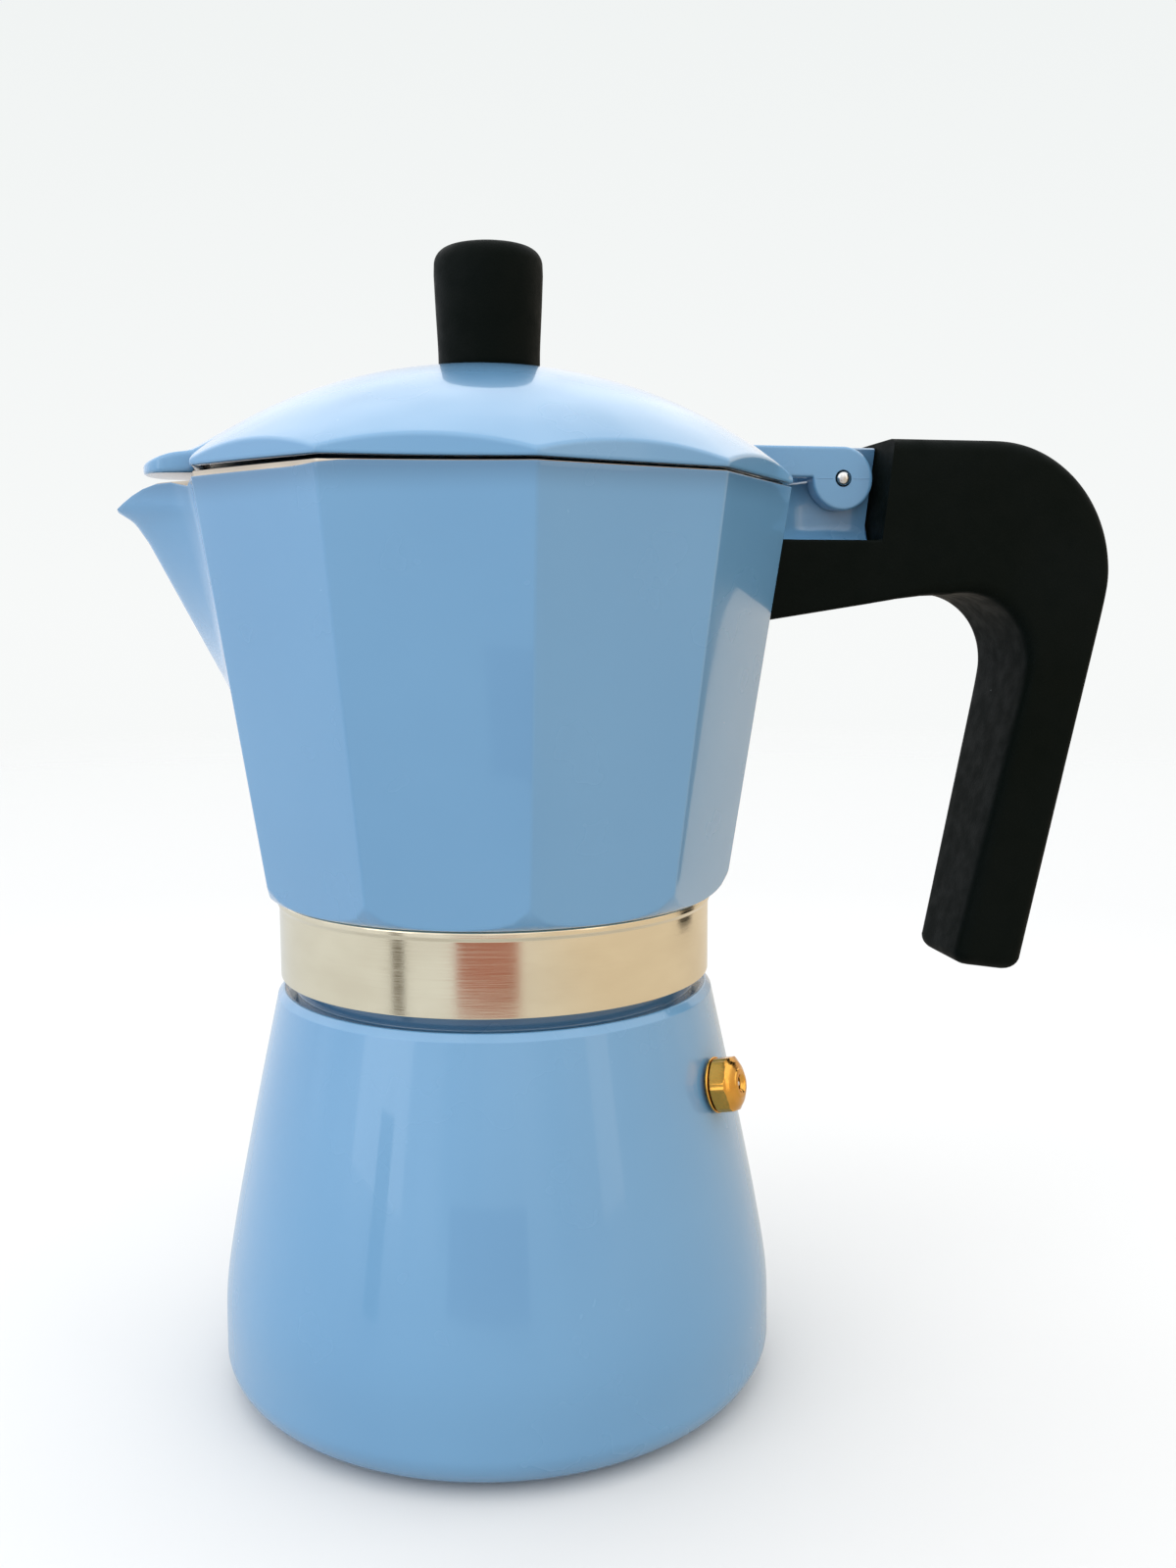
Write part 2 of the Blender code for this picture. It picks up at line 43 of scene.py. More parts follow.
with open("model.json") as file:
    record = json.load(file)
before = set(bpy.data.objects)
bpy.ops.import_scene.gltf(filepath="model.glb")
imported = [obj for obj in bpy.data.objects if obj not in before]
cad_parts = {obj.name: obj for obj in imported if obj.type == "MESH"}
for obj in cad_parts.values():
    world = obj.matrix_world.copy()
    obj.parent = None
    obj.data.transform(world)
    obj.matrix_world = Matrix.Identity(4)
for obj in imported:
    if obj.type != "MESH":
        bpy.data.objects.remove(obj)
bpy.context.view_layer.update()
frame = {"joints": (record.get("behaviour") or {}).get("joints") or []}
joints = {joint["name"]: joint for joint in frame["joints"]}


def show(made):
    bpy.context.scene.collection.objects.link(made)


def boxOf(node):
    low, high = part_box(node)
    return np.array(low) / mm, np.array(high) / mm


# ---- camera, floor and light ----

camera = {
    "place": (-34.2, -268.45, 140.5),
    "swing": -7.262,  # degrees about the pot's axis, from straight in front
    "yaw": -3.6722,
    "pitch": -6.5581,
    "roll": 0.2370,
    "lens": 33.75,  # millimetres, on a sensor 36 mm tall
}


def addCamera():
    data = bpy.data.cameras.new("studioCamera")
    data.lens = camera["lens"]
    data.sensor_width = 36
    data.clip_start = 0.01
    view = bpy.data.objects.new("studioCamera", data)
    show(view)
    turn = Matrix.Rotation(math.radians(camera["swing"]), 4, "Z")
    turn = turn @ Matrix.Rotation(math.radians(camera["yaw"]), 4, "Z")
    turn = turn @ Matrix.Rotation(math.radians(camera["pitch"]), 4, "X")
    turn = turn @ Matrix.Rotation(math.radians(camera["roll"]), 4, "Y")
    stand = Matrix.Rotation(math.pi / 2, 4, "X")  # a Blender camera looks down -Z, and this turns it to +Y
    view.matrix_world = Matrix.Translation(Vector(camera["place"]) * mm) @ turn @ stand
    bpy.context.scene.camera = view


studio = {
    "backdrop": ((0.935, 0.950, 0.945), (0.875, 0.900, 0.895)),  # at the horizon, and high up
    "ceiling": (1.62, 1.65, 1.68),
    "cool": (0.97, 1.03, 1.14),  # low light from the spout side
    "warm": (0.82, 0.68, 0.52),  # low light from the handle side
    "unevenness": 0.22,
    "floorColour": ((0.705, 0.70, 0.69), (0.63, 0.63, 0.625)),  # beside the pot, and half a metre away
    "bounce": ((0.50, 0.53, 0.56), (0.52, 0.45, 0.36)),  # towards the spout, and towards the handle
    "floorFade": (0.5, 1.6),  # metres from the pot, where the floor melts into the backdrop
    # Upright cards that glow with their own colour and that only reflections meet, painting reflections on
    # the pot, in millimetres: two ends, height and colour
    "cards": {
        "warmReflectionCard": ((-142, -284), (19, -305), 50, (0.42, 0.17, 0.13)),
        "darkReflectionCard": ((-198, -127), (-184, -148), 70, (0.18, 0.17, 0.15)),
    },
    # name: (place in metres, width, height, watts, colour)
    "lamps": {
        "windowPanel": ((-1.3, -0.7, 0.7), 0.8, 1.5, 3.2, (1.0, 1.0, 1.0)),
        "doorPanel": ((1.1, -1.2, 0.6), 0.35, 1.3, 1.0, (1.0, 0.92, 0.80)),
    },
}


def addSky():
    # The camera meets a plain pale backdrop. The pot is lit by a room: bright above, cool on the spout's
    # side, warmer and dimmer on the handle's side, with soft patches.
    world = bpy.data.worlds.new("studioSky")
    world.use_nodes = True
    background = world.node_tree.nodes["Background"]
    ray = addNode(world, "TexCoord").outputs["Generated"]
    parts = addNode(world, "SeparateXYZ", [("Vector", ray)])
    side = spread(world, parts.outputs["X"], 0, 1, -0.7, 0.7)
    height = spread(world, parts.outputs["Z"], 0, 1, 0.05, 0.70)
    room = mixColour(world, height, mixColour(world, side, studio["cool"], studio["warm"]), studio["ceiling"])
    stretch = addNode(world, "Mapping", [("Vector", ray), ("Scale", (2.6, 2.6, 0.9))])
    wires = [("Vector", stretch.outputs[0]), ("Scale", 1.6), ("Detail", 2.0)]
    patches = addNode(world, "TexNoise", wires)
    uneven = studio["unevenness"]
    shade = spread(world, patches.outputs["Fac"], 1 - uneven, 1 + uneven, 0.3, 0.7)
    lit = addNode(world, "VectorMath", [(0, room), ("Scale", shade)], operation="SCALE")
    rise = spread(world, parts.outputs["Z"], 0, 1, 0.0, 0.38)
    seen = addNode(world, "LightPath").outputs["Is Camera Ray"]
    colour = mixColour(world, seen, lit.outputs[0], mixColour(world, rise, *studio["backdrop"]))
    world.node_tree.links.new(colour, background.inputs["Color"])
    bpy.context.scene.world = world
    bpy.context.scene.view_settings.view_transform = "Standard"


def addLamps():
    for name, (place, width, height, watts, colour) in studio["lamps"].items():
        data = bpy.data.lights.new(name, "AREA")
        data.shape = "RECTANGLE"
        data.size = width
        data.size_y = height
        data.energy = watts
        data.color = colour
        lamp = bpy.data.objects.new(name, data)
        show(lamp)
        aim = Vector((0, 0, 0.11)) - Vector(place)
        turn = aim.to_track_quat("-Z", "Y").to_matrix().to_4x4()
        lamp.matrix_world = Matrix.Translation(Vector(place)) @ turn
        lamp.visible_camera = False


# ---- materials ----


def plug(finish, source, key):
    finish.node_tree.links.new(source, finish.node_tree.nodes["Principled BSDF"].inputs[key])


def newFinish(name, colour, metallic=0.0, roughness=0.3):
    finish = bpy.data.materials.new(name)
    finish.use_nodes = True
    shader = finish.node_tree.nodes["Principled BSDF"]
    shader.inputs["Base Color"].default_value = (*colour, 1)
    shader.inputs["Metallic"].default_value = metallic
    shader.inputs["Roughness"].default_value = roughness
    return finish, shader


def addNode(finish, kind, wires=(), **settings):
    # kind is the node's type after ShaderNode. wires are (input name, what it takes): another node's
    # output, or a plain value.
    node = finish.node_tree.nodes.new("ShaderNode" + kind)
    for key, value in settings.items():
        setattr(node, key, value)
    for key, source in wires:
        if isinstance(source, bpy.types.NodeSocket):
            finish.node_tree.links.new(source, node.inputs[key])
        else:
            node.inputs[key].default_value = source
    return node


def noise(finish, stretch, detail=2.0, rough=0.5):
    # Noise in millimetres of the piece's own space. stretch is the number of cells in each millimetre.
    place = addNode(finish, "TexCoord")
    scaled = addNode(
        finish,
        "Mapping",
        [("Vector", place.outputs["Object"]), ("Scale", [s / mm for s in stretch])],
    )
    wires = [("Vector", scaled.outputs[0]), ("Scale", 1.0), ("Detail", detail), ("Roughness", rough)]
    return addNode(finish, "TexNoise", wires).outputs["Fac"]


def spread(finish, value, low, high, start=0.35, end=0.65):
    # Carries a texture's value from start..end to low..high, held at its ends.
    wires = [("Value", value), ("From Min", start), ("From Max", end), ("To Min", low), ("To Max", high)]
    return addNode(finish, "MapRange", wires).outputs["Result"]


def mixColour(finish, share, first, second):
    node = addNode(finish, "Mix", data_type="RGBA")
    for key, source in ((0, share), (6, first), (7, second)):
        if isinstance(source, bpy.types.NodeSocket):
            finish.node_tree.links.new(source, node.inputs[key])
        elif key == 0:
            node.inputs[key].default_value = source
        else:
            node.inputs[key].default_value = (*source, 1)
    return node.outputs[2]


def addBump(finish, heights):
    # heights are (texture value, depth in millimetres); each bump rests on the one before.
    normal = None
    for value, depth in heights:
        wires = [("Height", value), ("Distance", depth * mm), ("Strength", 1.0)]
        if normal:
            wires.append(("Normal", normal))
        normal = addNode(finish, "Bump", wires).outputs["Normal"]
    plug(finish, normal, "Normal")


def specks(finish, cell, size, share):
    # Rare grains: in some cells of a Voronoi pattern, the spot nearer than size to the cell's point.
    place = addNode(finish, "TexCoord")
    cells = addNode(
        finish,
        "TexVoronoi",
        [("Vector", place.outputs["Object"]), ("Scale", 1 / (cell * mm)), ("Randomness", 1.0)],
    )
    near = addNode(finish, "Math", [(0, cells.outputs["Distance"]), (1, size)], operation="LESS_THAN")
    parts = addNode(finish, "SeparateColor", [("Color", cells.outputs["Color"])])
    rare = addNode(finish, "Math", [(0, parts.outputs[0]), (1, share)], operation="LESS_THAN")
    both = addNode(finish, "Math", [(0, near.outputs[0]), (1, rare.outputs[0])], operation="MULTIPLY")
    return both.outputs[0]


enamel = {
    "base": (0.134, 0.306, 0.500),
    "deep": (0.124, 0.290, 0.482),
    "roughness": (0.22, 0.30),
    "peel": 0.003,  # depth of the orange peel
    "dust": (0.55, 0.62, 0.68),
    # the colour of the painted shade beneath the lid
    "shade": (0.070, 0.170, 0.290),
    "recess": ((0.060, 0.160, 0.290), (0.052, 0.145, 0.270)),  # painted shade: the groove under the band, painted darker
}


def enamelFinish(name, base, deep, shaded=None):
    # shaded is two heights in millimetres, between which the colour turns darker towards the upper one: a
    # painted shade, as beneath the lid.
    finish, shader = newFinish(name, base)
    clouds = noise(finish, (0.02, 0.02, 0.02), 3.0)
    colour = mixColour(finish, spread(finish, clouds, 0, 1), base, deep)
    colour = mixColour(finish, specks(finish, 9.0, 0.012, 0.10), colour, enamel["dust"])
    if shaded:
        # Painted shade: the colour darkens with height between the two levels.
        place = addNode(finish, "TexCoord")
        parts = addNode(finish, "SeparateXYZ", [("Vector", place.outputs["Object"])])
        share = addNode(
            finish,
            "MapRange",
            [("Value", parts.outputs["Z"]), ("From Min", shaded[0] * mm), ("From Max", shaded[1] * mm)],
            interpolation_type="SMOOTHSTEP",
        )
        colour = mixColour(finish, share.outputs["Result"], colour, enamel["shade"])
    plug(finish, colour, "Base Color")
    worn = spread(finish, noise(finish, (0.06, 0.06, 0.06), 3.0), *enamel["roughness"], 0.2, 0.8)
    plug(finish, worn, "Roughness")
    peel = noise(finish, (0.45, 0.45, 0.45), 1.0)
    waves = noise(finish, (0.045, 0.045, 0.02), 0.5)
    addBump(finish, [(waves, 0.06), (peel, enamel["peel"])])
    shader.inputs["Coat Weight"].default_value = 0.7
    shader.inputs["Coat Roughness"].default_value = 0.05
    shader.inputs["Coat IOR"].default_value = 1.5
    return finish


def metalFinish(name, colours, roughness, grain, depth, turning=0.0):
    # grain is the noise's cells in each millimetre: few along the tool's path, many across it.
    finish, shader = newFinish(name, colours[0], 1.0)
    tint = spread(finish, noise(finish, (0.06, 0.06, 0.12), 3.0), 0, 1)
    colour = mixColour(finish, tint, colours[0], colours[1])
    plug(finish, colour, "Base Color")
    lines = noise(finish, grain, 3.0, 0.6)
    worn = spread(finish, lines, *roughness)
    plug(finish, worn, "Roughness")
    addBump(finish, [(lines, depth)])
    if turning:
        shader.inputs["Anisotropic"].default_value = turning
        tangent = addNode(finish, "Tangent", direction_type="RADIAL", axis="Z")
        plug(finish, tangent.outputs[0], "Tangent")
    return finish


def plasticFinish():
    finish, shader = newFinish("blackPlastic", (0.009, 0.011, 0.010))
    shader.inputs["Specular IOR Level"].default_value = 0.05
    clouds = spread(finish, noise(finish, (0.04, 0.04, 0.04), 3.0), 0, 1)
    colour = mixColour(finish, clouds, (0.0011, 0.0026, 0.0015), (0.0020, 0.0036, 0.0028))
    colour = mixColour(finish, specks(finish, 4.5, 0.035, 0.07), colour, (0.42, 0.44, 0.42))
    plug(finish, colour, "Base Color")
    worn = spread(finish, noise(finish, (0.3, 0.3, 0.3), 3.0), 0.52, 0.66)
    plug(finish, worn, "Roughness")
    pebble = noise(finish, (2.2, 2.2, 2.2), 1.5)
    addBump(finish, [(pebble, 0.035)])
    return finish


def rubberFinish():
    finish, shader = newFinish("sealRubber", (0.74, 0.72, 0.66), roughness=0.6)
    stain = spread(finish, noise(finish, (0.15, 0.15, 0.15), 4.0), 0, 1)
    colour = mixColour(finish, stain, (0.76, 0.74, 0.69), (0.68, 0.65, 0.58))
    plug(finish, colour, "Base Color")
    addBump(finish, [(noise(finish, (3, 3, 3), 2.0), 0.02)])
    return finish


finishes = {
    "enamel": enamelFinish("blueEnamel", enamel["base"], enamel["deep"]),
    # The collector and its hinge bracket take a painted shade just beneath the lid.
    "collector": enamelFinish("collectorEnamelUnderLidShade", enamel["base"], enamel["deep"], (158.0, 164.6)),
    # The groove under the band takes darker colours than the rest: a painted shade.
    "recess": enamelFinish("grooveShadeEnamel", *enamel["recess"]),
    "band": metalFinish(
        "bandMetal", ((0.80, 0.71, 0.53), (0.73, 0.64, 0.47)), (0.09, 0.20), (0.05, 0.05, 9.0), 0.005, 0.45
    ),
    "cast": metalFinish(
        "castAluminium", ((0.70, 0.69, 0.67), (0.62, 0.61, 0.58)), (0.30, 0.46), (1.2, 1.2, 1.2), 0.02
    ),
    "spun": metalFinish(
        "spunAluminium", ((0.74, 0.73, 0.71), (0.67, 0.66, 0.63)), (0.24, 0.38), (0.1, 0.1, 6.0), 0.008, 0.4
    ),
    "rim": metalFinish(
        "bareRim", ((0.62, 0.54, 0.44), (0.52, 0.45, 0.36)), (0.35, 0.5), (0.4, 0.4, 4.0), 0.01
    ),
    "steel": metalFinish(
        "steelPolish", ((0.66, 0.65, 0.63), (0.58, 0.57, 0.55)), (0.14, 0.26), (2.5, 2.5, 2.5), 0.01
    ),
    "brass": metalFinish(
        "valveBrass", ((0.76, 0.40, 0.080), (0.60, 0.28, 0.045)), (0.10, 0.24), (1.5, 1.5, 5.0), 0.012
    ),
    "plastic": plasticFinish(),
    "rubber": rubberFinish(),
}


def addFloor():
    # A flat disc that melts into the backdrop with distance from the pot. The pot itself is lit from below
    # by a second one, a little darker, which the camera doesn't meet.
    near, far = studio["floorFade"]
    reach = np.array([0, 0.3, far * 1.05]) / mm
    for name, level in (("studioFloor", 0.0), ("bounceFloor", -0.3)):
        seen = level == 0
        points, _ = turnedPoints(np.stack([reach, 0 * reach + level], 1), 96)
        finish, shader = newFinish(name + "Paper", studio["floorColour"][0], roughness=0.8)
        place = addNode(finish, "TexCoord")
        away = addNode(finish, "VectorMath", [(0, place.outputs["Object"])], operation="LENGTH")
        if seen:
            share = spread(finish, away.outputs["Value"], 0, 1, 0.15, 0.5)
            colour = mixColour(finish, share, *studio["floorColour"])
        else:
            parts = addNode(finish, "SeparateXYZ", [("Vector", place.outputs["Object"])])
            share = spread(finish, parts.outputs["X"], 0, 1, -0.15, 0.25)
            colour = mixColour(finish, share, *studio["bounce"])
        plug(finish, colour, "Base Color")
        shade = spread(finish, away.outputs["Value"], 1.0, 0.0, near, far)
        plug(finish, shade, "Alpha")
        floor = meshOf(name, points, [finish], wrapRows=False)
        if floor.data.polygons[0].normal.z < 0:
            floor.data.flip_normals()
        floor.visible_camera = seen
        floor.visible_diffuse = floor.visible_glossy = not seen
        floor.visible_shadow = False


def addCards():
    for name, (start, end, height, colour) in studio["cards"].items():
        # Each card glows with its colour and only glossy rays see it: painted reflections, not lamps.
        finish, shader = newFinish(name + "Paper", (0, 0, 0), roughness=1.0)
        shader.inputs["Specular IOR Level"].default_value = 0
        shader.inputs["Emission Color"].default_value = (*colour, 1)
        shader.inputs["Emission Strength"].default_value = 1.0
        points = np.array([[(*start, z), (*end, z)] for z in (1.0, height)], float)
        card = meshOf(name, points, [finish], wrapRows=False, wrapColumns=False)
        card.visible_camera = card.visible_diffuse = card.visible_shadow = False


# ---- mesh tools ----


def smoothStep(low, high, value):
    t = np.clip((value - low) / (high - low), 0, 1)
    return t * t * (3 - 2 * t)


def meshOf(name, points, looks, rowLooks=None, wrapRows=True, wrapColumns=True, sharp=32):
    # Fills a mesh from a grid of points: each cell between two rows and two columns is a quad.
    # Points that meet at a pole become one, and then the faces are turned outwards.
    rows, columns = points.shape[:2]
    i = np.arange(rows if wrapRows else rows - 1)[:, None]
    j = np.arange(columns if wrapColumns else columns - 1)[None, :]
    below, beside = (i + 1) % rows, (j + 1) % columns
    corners = [i * columns + j, i * columns + beside, below * columns + beside, below * columns + j]
    quads = np.stack(corners, -1).reshape(-1, 4)
    mesh = bpy.data.meshes.new(name)
    mesh.vertices.add(rows * columns)
    mesh.vertices.foreach_set("co", (points * mm).astype(np.float32).ravel())
    mesh.loops.add(quads.size)
    mesh.loops.foreach_set("vertex_index", quads.astype(np.int32).ravel())
    mesh.polygons.add(len(quads))
    mesh.polygons.foreach_set("loop_start", np.arange(len(quads), dtype=np.int32) * 4)
    if rowLooks is not None:
        looked = np.repeat(np.asarray(rowLooks)[: len(i)], quads.shape[0] // len(i))
        mesh.polygons.foreach_set("material_index", looked.astype(np.int32))
    mesh.update(calc_edges=True)
    shaper = bmesh.new()
    shaper.from_mesh(mesh)
    bmesh.ops.remove_doubles(shaper, verts=shaper.verts, dist=2e-7)
    bmesh.ops.recalc_face_normals(shaper, faces=shaper.faces)
    shaper.to_mesh(mesh)
    shaper.free()
    for look in looks:
        mesh.materials.append(look)
    mesh.shade_smooth()
    mesh.set_sharp_from_angle(angle=math.radians(sharp))
    made = bpy.data.objects.new(name, mesh)
    show(made)
    return made


def softened(corners, arcSteps=6, closed=True):
    # A profile with rounded corners. Each corner is (across, up, fillet, look); the look holds until the
    # next one. A fillet touches both sides, so its centre lies fillet / sin(half the corner's angle) along
    # their bisector.
    spots = np.array([corner[:2] for corner in corners], float)
    points, looks = [], []
    for k, corner in enumerate(corners):
        radius = corner[2] if len(corner) > 2 else 0
        look = corner[3] if len(corner) > 3 else 0
        back = spots[k - 1] - spots[k]
        ahead = spots[(k + 1) % len(spots)] - spots[k]
        backLength, aheadLength = np.hypot(*back), np.hypot(*ahead)
        ends = not closed and k in (0, len(spots) - 1)
        if radius == 0 or ends:
            points.append(spots[k])
            looks.append(look)
            continue
        back, ahead = back / backLength, ahead / aheadLength
        half = math.acos(np.clip(back @ ahead, -1, 1)) / 2
        touch = min(radius / math.tan(half), 0.42 * min(backLength, aheadLength))
        radius = touch * math.tan(half)
        middle = spots[k] + (back + ahead) / np.hypot(*(back + ahead)) * radius / math.sin(half)
        first, last = spots[k] + back * touch - middle, spots[k] + ahead * touch - middle
        sweep = math.pi - 2 * half
        hold = 0.12 * touch  # a close row on each side keeps the flats' shading flat
        points.append(spots[k] + back * (touch + hold))
        for t in np.linspace(0, 1, arcSteps + 1):
            arm = (math.sin((1 - t) * sweep) * first + math.sin(t * sweep) * last) / math.sin(sweep)
            points.append(middle + arm)
        points.append(spots[k] + ahead * (touch + hold))
        halfway = arcSteps // 2 + 1
        looks += [looks[-1] if looks else look] * halfway + [look] * (arcSteps + 3 - halfway)
    return np.array(points), np.array(looks)


def turnedPoints(profile, columns, ripple=None):
    # A profile of (radius, height) carried round Z. ripple(angle, height) is added to the radius.
    angles = np.arange(columns) * tau / columns
    radius, height = profile[:, :1], profile[:, 1:] + 0 * angles
    if ripple is not None:
        radius = radius + ripple(angles, height, radius)
    return np.stack([radius * np.cos(angles), radius * np.sin(angles), height], -1), angles


def moved(points, place):
    # Carries a grid by a 4 x 4 matrix in millimetres.
    matrix = np.array(place)
    return points @ matrix[:3, :3].T + matrix[:3, 3]


def keep(piece, body, slot, *nodes):
    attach(piece, body)
    if nodes:
        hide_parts(*nodes)
    return piece


def turned(name, corners, looks, columns=128, place=None, ripple=None, closed=True, arcSteps=6):
    profile, rowLooks = softened(corners, arcSteps, closed)
    points, _ = turnedPoints(profile, columns, ripple)
    if place is not None:
        points = moved(points, place)
    return meshOf(name, points, [finishes[look] for look in looks], rowLooks, wrapRows=closed)


def cutAway(piece, cutters):
    # Takes the cutters' space out of a piece, for good.
    for cutter in cutters:
        cut = piece.modifiers.new(cutter.name, "BOOLEAN")
        cut.operation = "DIFFERENCE"
        cut.object = cutter
    solid = bpy.data.meshes.new_from_object(piece.evaluated_get(bpy.context.evaluated_depsgraph_get()))
    piece.modifiers.clear()
    piece.data = solid
    solid.set_sharp_from_angle(angle=math.radians(32))
    for cutter in cutters:
        bpy.data.objects.remove(cutter, do_unlink=True)


def drill(name, radius, start, end, look, columns=48):
    # A round cutter between two points.
    start, end = Vector(start), Vector(end)
    place = Matrix.Translation(start) @ (end - start).to_track_quat("Z", "Y").to_matrix().to_4x4()
    length = (end - start).length
    corners = [(0, 0), (radius, 0), (radius, length), (0, length)]
    return turned(name, corners, [look], columns, place, closed=False)


def block(name, low, high, look):
    # A plain box cutter.
    (x0, y0, z0), (x1, y1, z1) = low, high
    ring = np.array([(x0, y0), (x1, y0), (x1, y1), (x0, y1)], float)
    middle = np.array([[(x0 + x1) / 2, (y0 + y1) / 2]] * 4)
    rows = [(middle, z0), (ring, z0), (ring, z1), (middle, z1)]
    points = np.stack([np.column_stack([row, np.full(4, z)]) for row, z in rows])
    return meshOf(name, points, [finishes[look]], wrapRows=False)


def plate(name, outline, low, high, fillet, look, centre, lay, sharp=32):
    # A flat outline given thickness, with rounded edges. Each row is the outline drawn in along its normals
    # by fillet * (1 - sin), at a level fillet * (1 - cos) from the face. Its faces close on centre, which is
    # one point or one for each point of the outline. lay turns (a, b, level) into (x, y, z).
    ahead, behind = np.roll(outline, -1, 0), np.roll(outline, 1, 0)
    along = (ahead - behind) / np.linalg.norm(ahead - behind, axis=1, keepdims=True)
    inward = np.stack([-along[:, 1], along[:, 0]], 1)
    if np.sum(inward * (np.array(centre) - outline)) < 0:
        inward = -inward
    bend = np.linspace(0, math.pi / 2, 6)
    drawn, levels = fillet * (1 - np.sin(bend)), fillet * (1 - np.cos(bend))
    steps = [(d, low + z) for d, z in zip(drawn, levels)]
    steps += [(d, high - z) for d, z in zip(drawn[::-1], levels[::-1])]
    hub = np.broadcast_to(centre, outline.shape)
    inner = outline + inward * (fillet + 0.3)
    faces = [inner + (hub - inner) * share for share in (0, 0.2, 0.45, 0.7, 1)]
    rows = [(face, low) for face in faces[::-1]] + [(outline + inward * d, level) for d, level in steps]
    rows += [(face, high) for face in faces]
    points = np.stack([lay(row[:, 0], row[:, 1], np.full(len(row), level)) for row, level in rows])
    return meshOf(name, points, [finishes[look]], wrapRows=False, sharp=sharp)


def arc(centre, radii, start, end, count):
    angles = np.radians(np.linspace(start, end, count))
    return np.stack([centre[0] + radii[0] * np.cos(angles), centre[1] + radii[1] * np.sin(angles)], 1)


def curveThrough(spots, count):
    # A Catmull-Rom curve through the spots, evenly spaced in its own parameter.
    spots = np.array(spots, float)
    path = np.vstack([2 * spots[0] - spots[1], spots, 2 * spots[-1] - spots[-2]])
    t = np.linspace(0, len(spots) - 1, count)
    k = np.minimum(t.astype(int), len(spots) - 2)
    u = (t - k)[:, None]
    a, b, c, d = path[k], path[k + 1], path[k + 2], path[k + 3]
    return b + 0.5 * u * (c - a + u * (2 * a - 5 * b + 4 * c - d + u * (3 * (b - c) + d - a)))


# ---- boiler and its valve ----

boiler = {
    "foot": (41.7, 7.2),  # centre of the rounding between the base and the wall
    "flare": [(51.0, 7.2), (50.7, 18.6), (48.8, 30.6), (46.4, 42.7), (43.9, 54.7), (41.3, 66.7)],
    "wall": 2.6,
    "neck": 36.6,
    "mouth": 33.2,
    "threadPitch": 5.0,
    "threadDepth": 0.55,
    "thread": (76.6, 85.0),  # lowest and highest height of the thread
}


def threadRipple(low, high, pitch, depth):
    # A helical ridge: the radius falls by depth between turns, and one turn gains the pitch in height.
    def ripple(angles, height, radius):
        phase = height / pitch - angles / tau
        valley = 0.5 - 0.5 * np.tanh(2.6 * np.cos(tau * phase))
        ends = smoothStep(low, low + 0.8, height) * (1 - smoothStep(high - 0.8, high, height))
        return -depth * valley * ends

    return ripple


def makeBoiler():
    width, _, top = boxOf("boiler")[1]
    centre, rise = boiler["foot"]
    foot = [(*spot, 0, 0) for spot in arc((centre, rise), (width - centre, rise), -90, 0, 18)]
    wall = curveThrough(boiler["flare"], 46)
    outer = [(0, 0.5, 0, 1), (33.5, 0.5, 0.3, 1), (34.6, 0, 0.3, 1), (40.2, 0, 0.3, 0)] + foot[1:]
    outer += [(*spot, 0, 0) for spot in wall[1:]]
    # The last shoulder corner and the neck below the band take look 2: the groove painted darker, a painted
    # shade.
    outer += [(40.1, 72.2, 0.5, 0), (39.0, 73.6, 0.45, 0), (38.2, 73.0, 0.25, 2)]
    outer += [(boiler["neck"], 73.0, 0.3, 2), (boiler["neck"], 75.2, 0, 2)]
    start, end = boiler["thread"]
    neck = [(boiler["neck"], z, 0, 1) for z in np.arange(75.3, top - 0.9, 0.28)]
    outer += neck + [(boiler["neck"], top, 0.5, 1)]
    inner = [(boiler["mouth"], top, 0.4, 1), (boiler["mouth"], 73.0, 3.0, 1), (37.2, 69.0, 3.0, 1)]
    inner += [(r - boiler["wall"], z, 0, 1) for r, z in wall[::-1][4:-2]]
    inner += [(width - boiler["wall"], 9.5, 2.0, 1), (46.2, 5.0, 3.0, 1), (42.0, 3.2, 3.0, 1), (0, 3.2, 0, 1)]
    ripple = threadRipple(start, end, boiler["threadPitch"], boiler["threadDepth"])

    def neckOnly(angles, height, radius):
        return ripple(angles, height, radius) * (radius > boiler["neck"] - 0.1)

    looks = ("enamel", "cast", "recess")
    shell = turned("boiler_shell", outer + inner, looks, 192, ripple=neckOnly, closed=False)
    root, out = valvePlace()
    cutAway(shell, [drill("valve_way", 3.5, root - out * 8, root + out * 3, "cast")])
    keep(shell, "boiler_body", "painted_boiler", "boiler")


valve = {
    "wallRadius": 43.4,
    "height": 58.0,
    "hexagonTurn": 20.0,  # degrees about its own axis
    "flats": 9.2,
    "shank": 3.1,
}


def valvePlace():
    out = Vector(joints["valve_blow"]["axis"]).normalized()
    level = Vector((out.x, out.y, 0)).normalized()
    return Vector((level.x * valve["wallRadius"], level.y * valve["wallRadius"], valve["height"])), out


def valveFrame():
    # Its own Z points out of the boiler, its X down along the wall.
    root, out = valvePlace()
    beside = Vector((0, 0, 1)).cross(out).normalized()
    down = beside.cross(out).normalized()
    turn = Matrix((down, beside, out)).transposed().to_4x4()
    return Matrix.Translation(root) @ turn


def hexagonRadius(angles, flats, rounding=0.04):
    half = math.pi / 6
    away = np.abs(angles % (2 * half) - half)
    sharp = flats / 2 / np.cos(away)
    return sharp - rounding * flats * smoothStep(half * 0.72, half, away) ** 2


def nutPoints(rows, flats, turn, columns=144):
    # Rows of (largest radius, height, whether the flats cut it). The flats and the turned shape meet in arcs.
    angles = np.arange(columns) * tau / columns
    faces = hexagonRadius(angles - math.radians(turn), flats)
    radius = np.stack([np.minimum(r, faces) if cut else np.full(columns, float(r)) for r, _, cut in rows])
    height = np.array([row[1] for row in rows])[:, None] + 0 * angles
    return np.stack([radius * np.cos(angles), radius * np.sin(angles), height], -1)


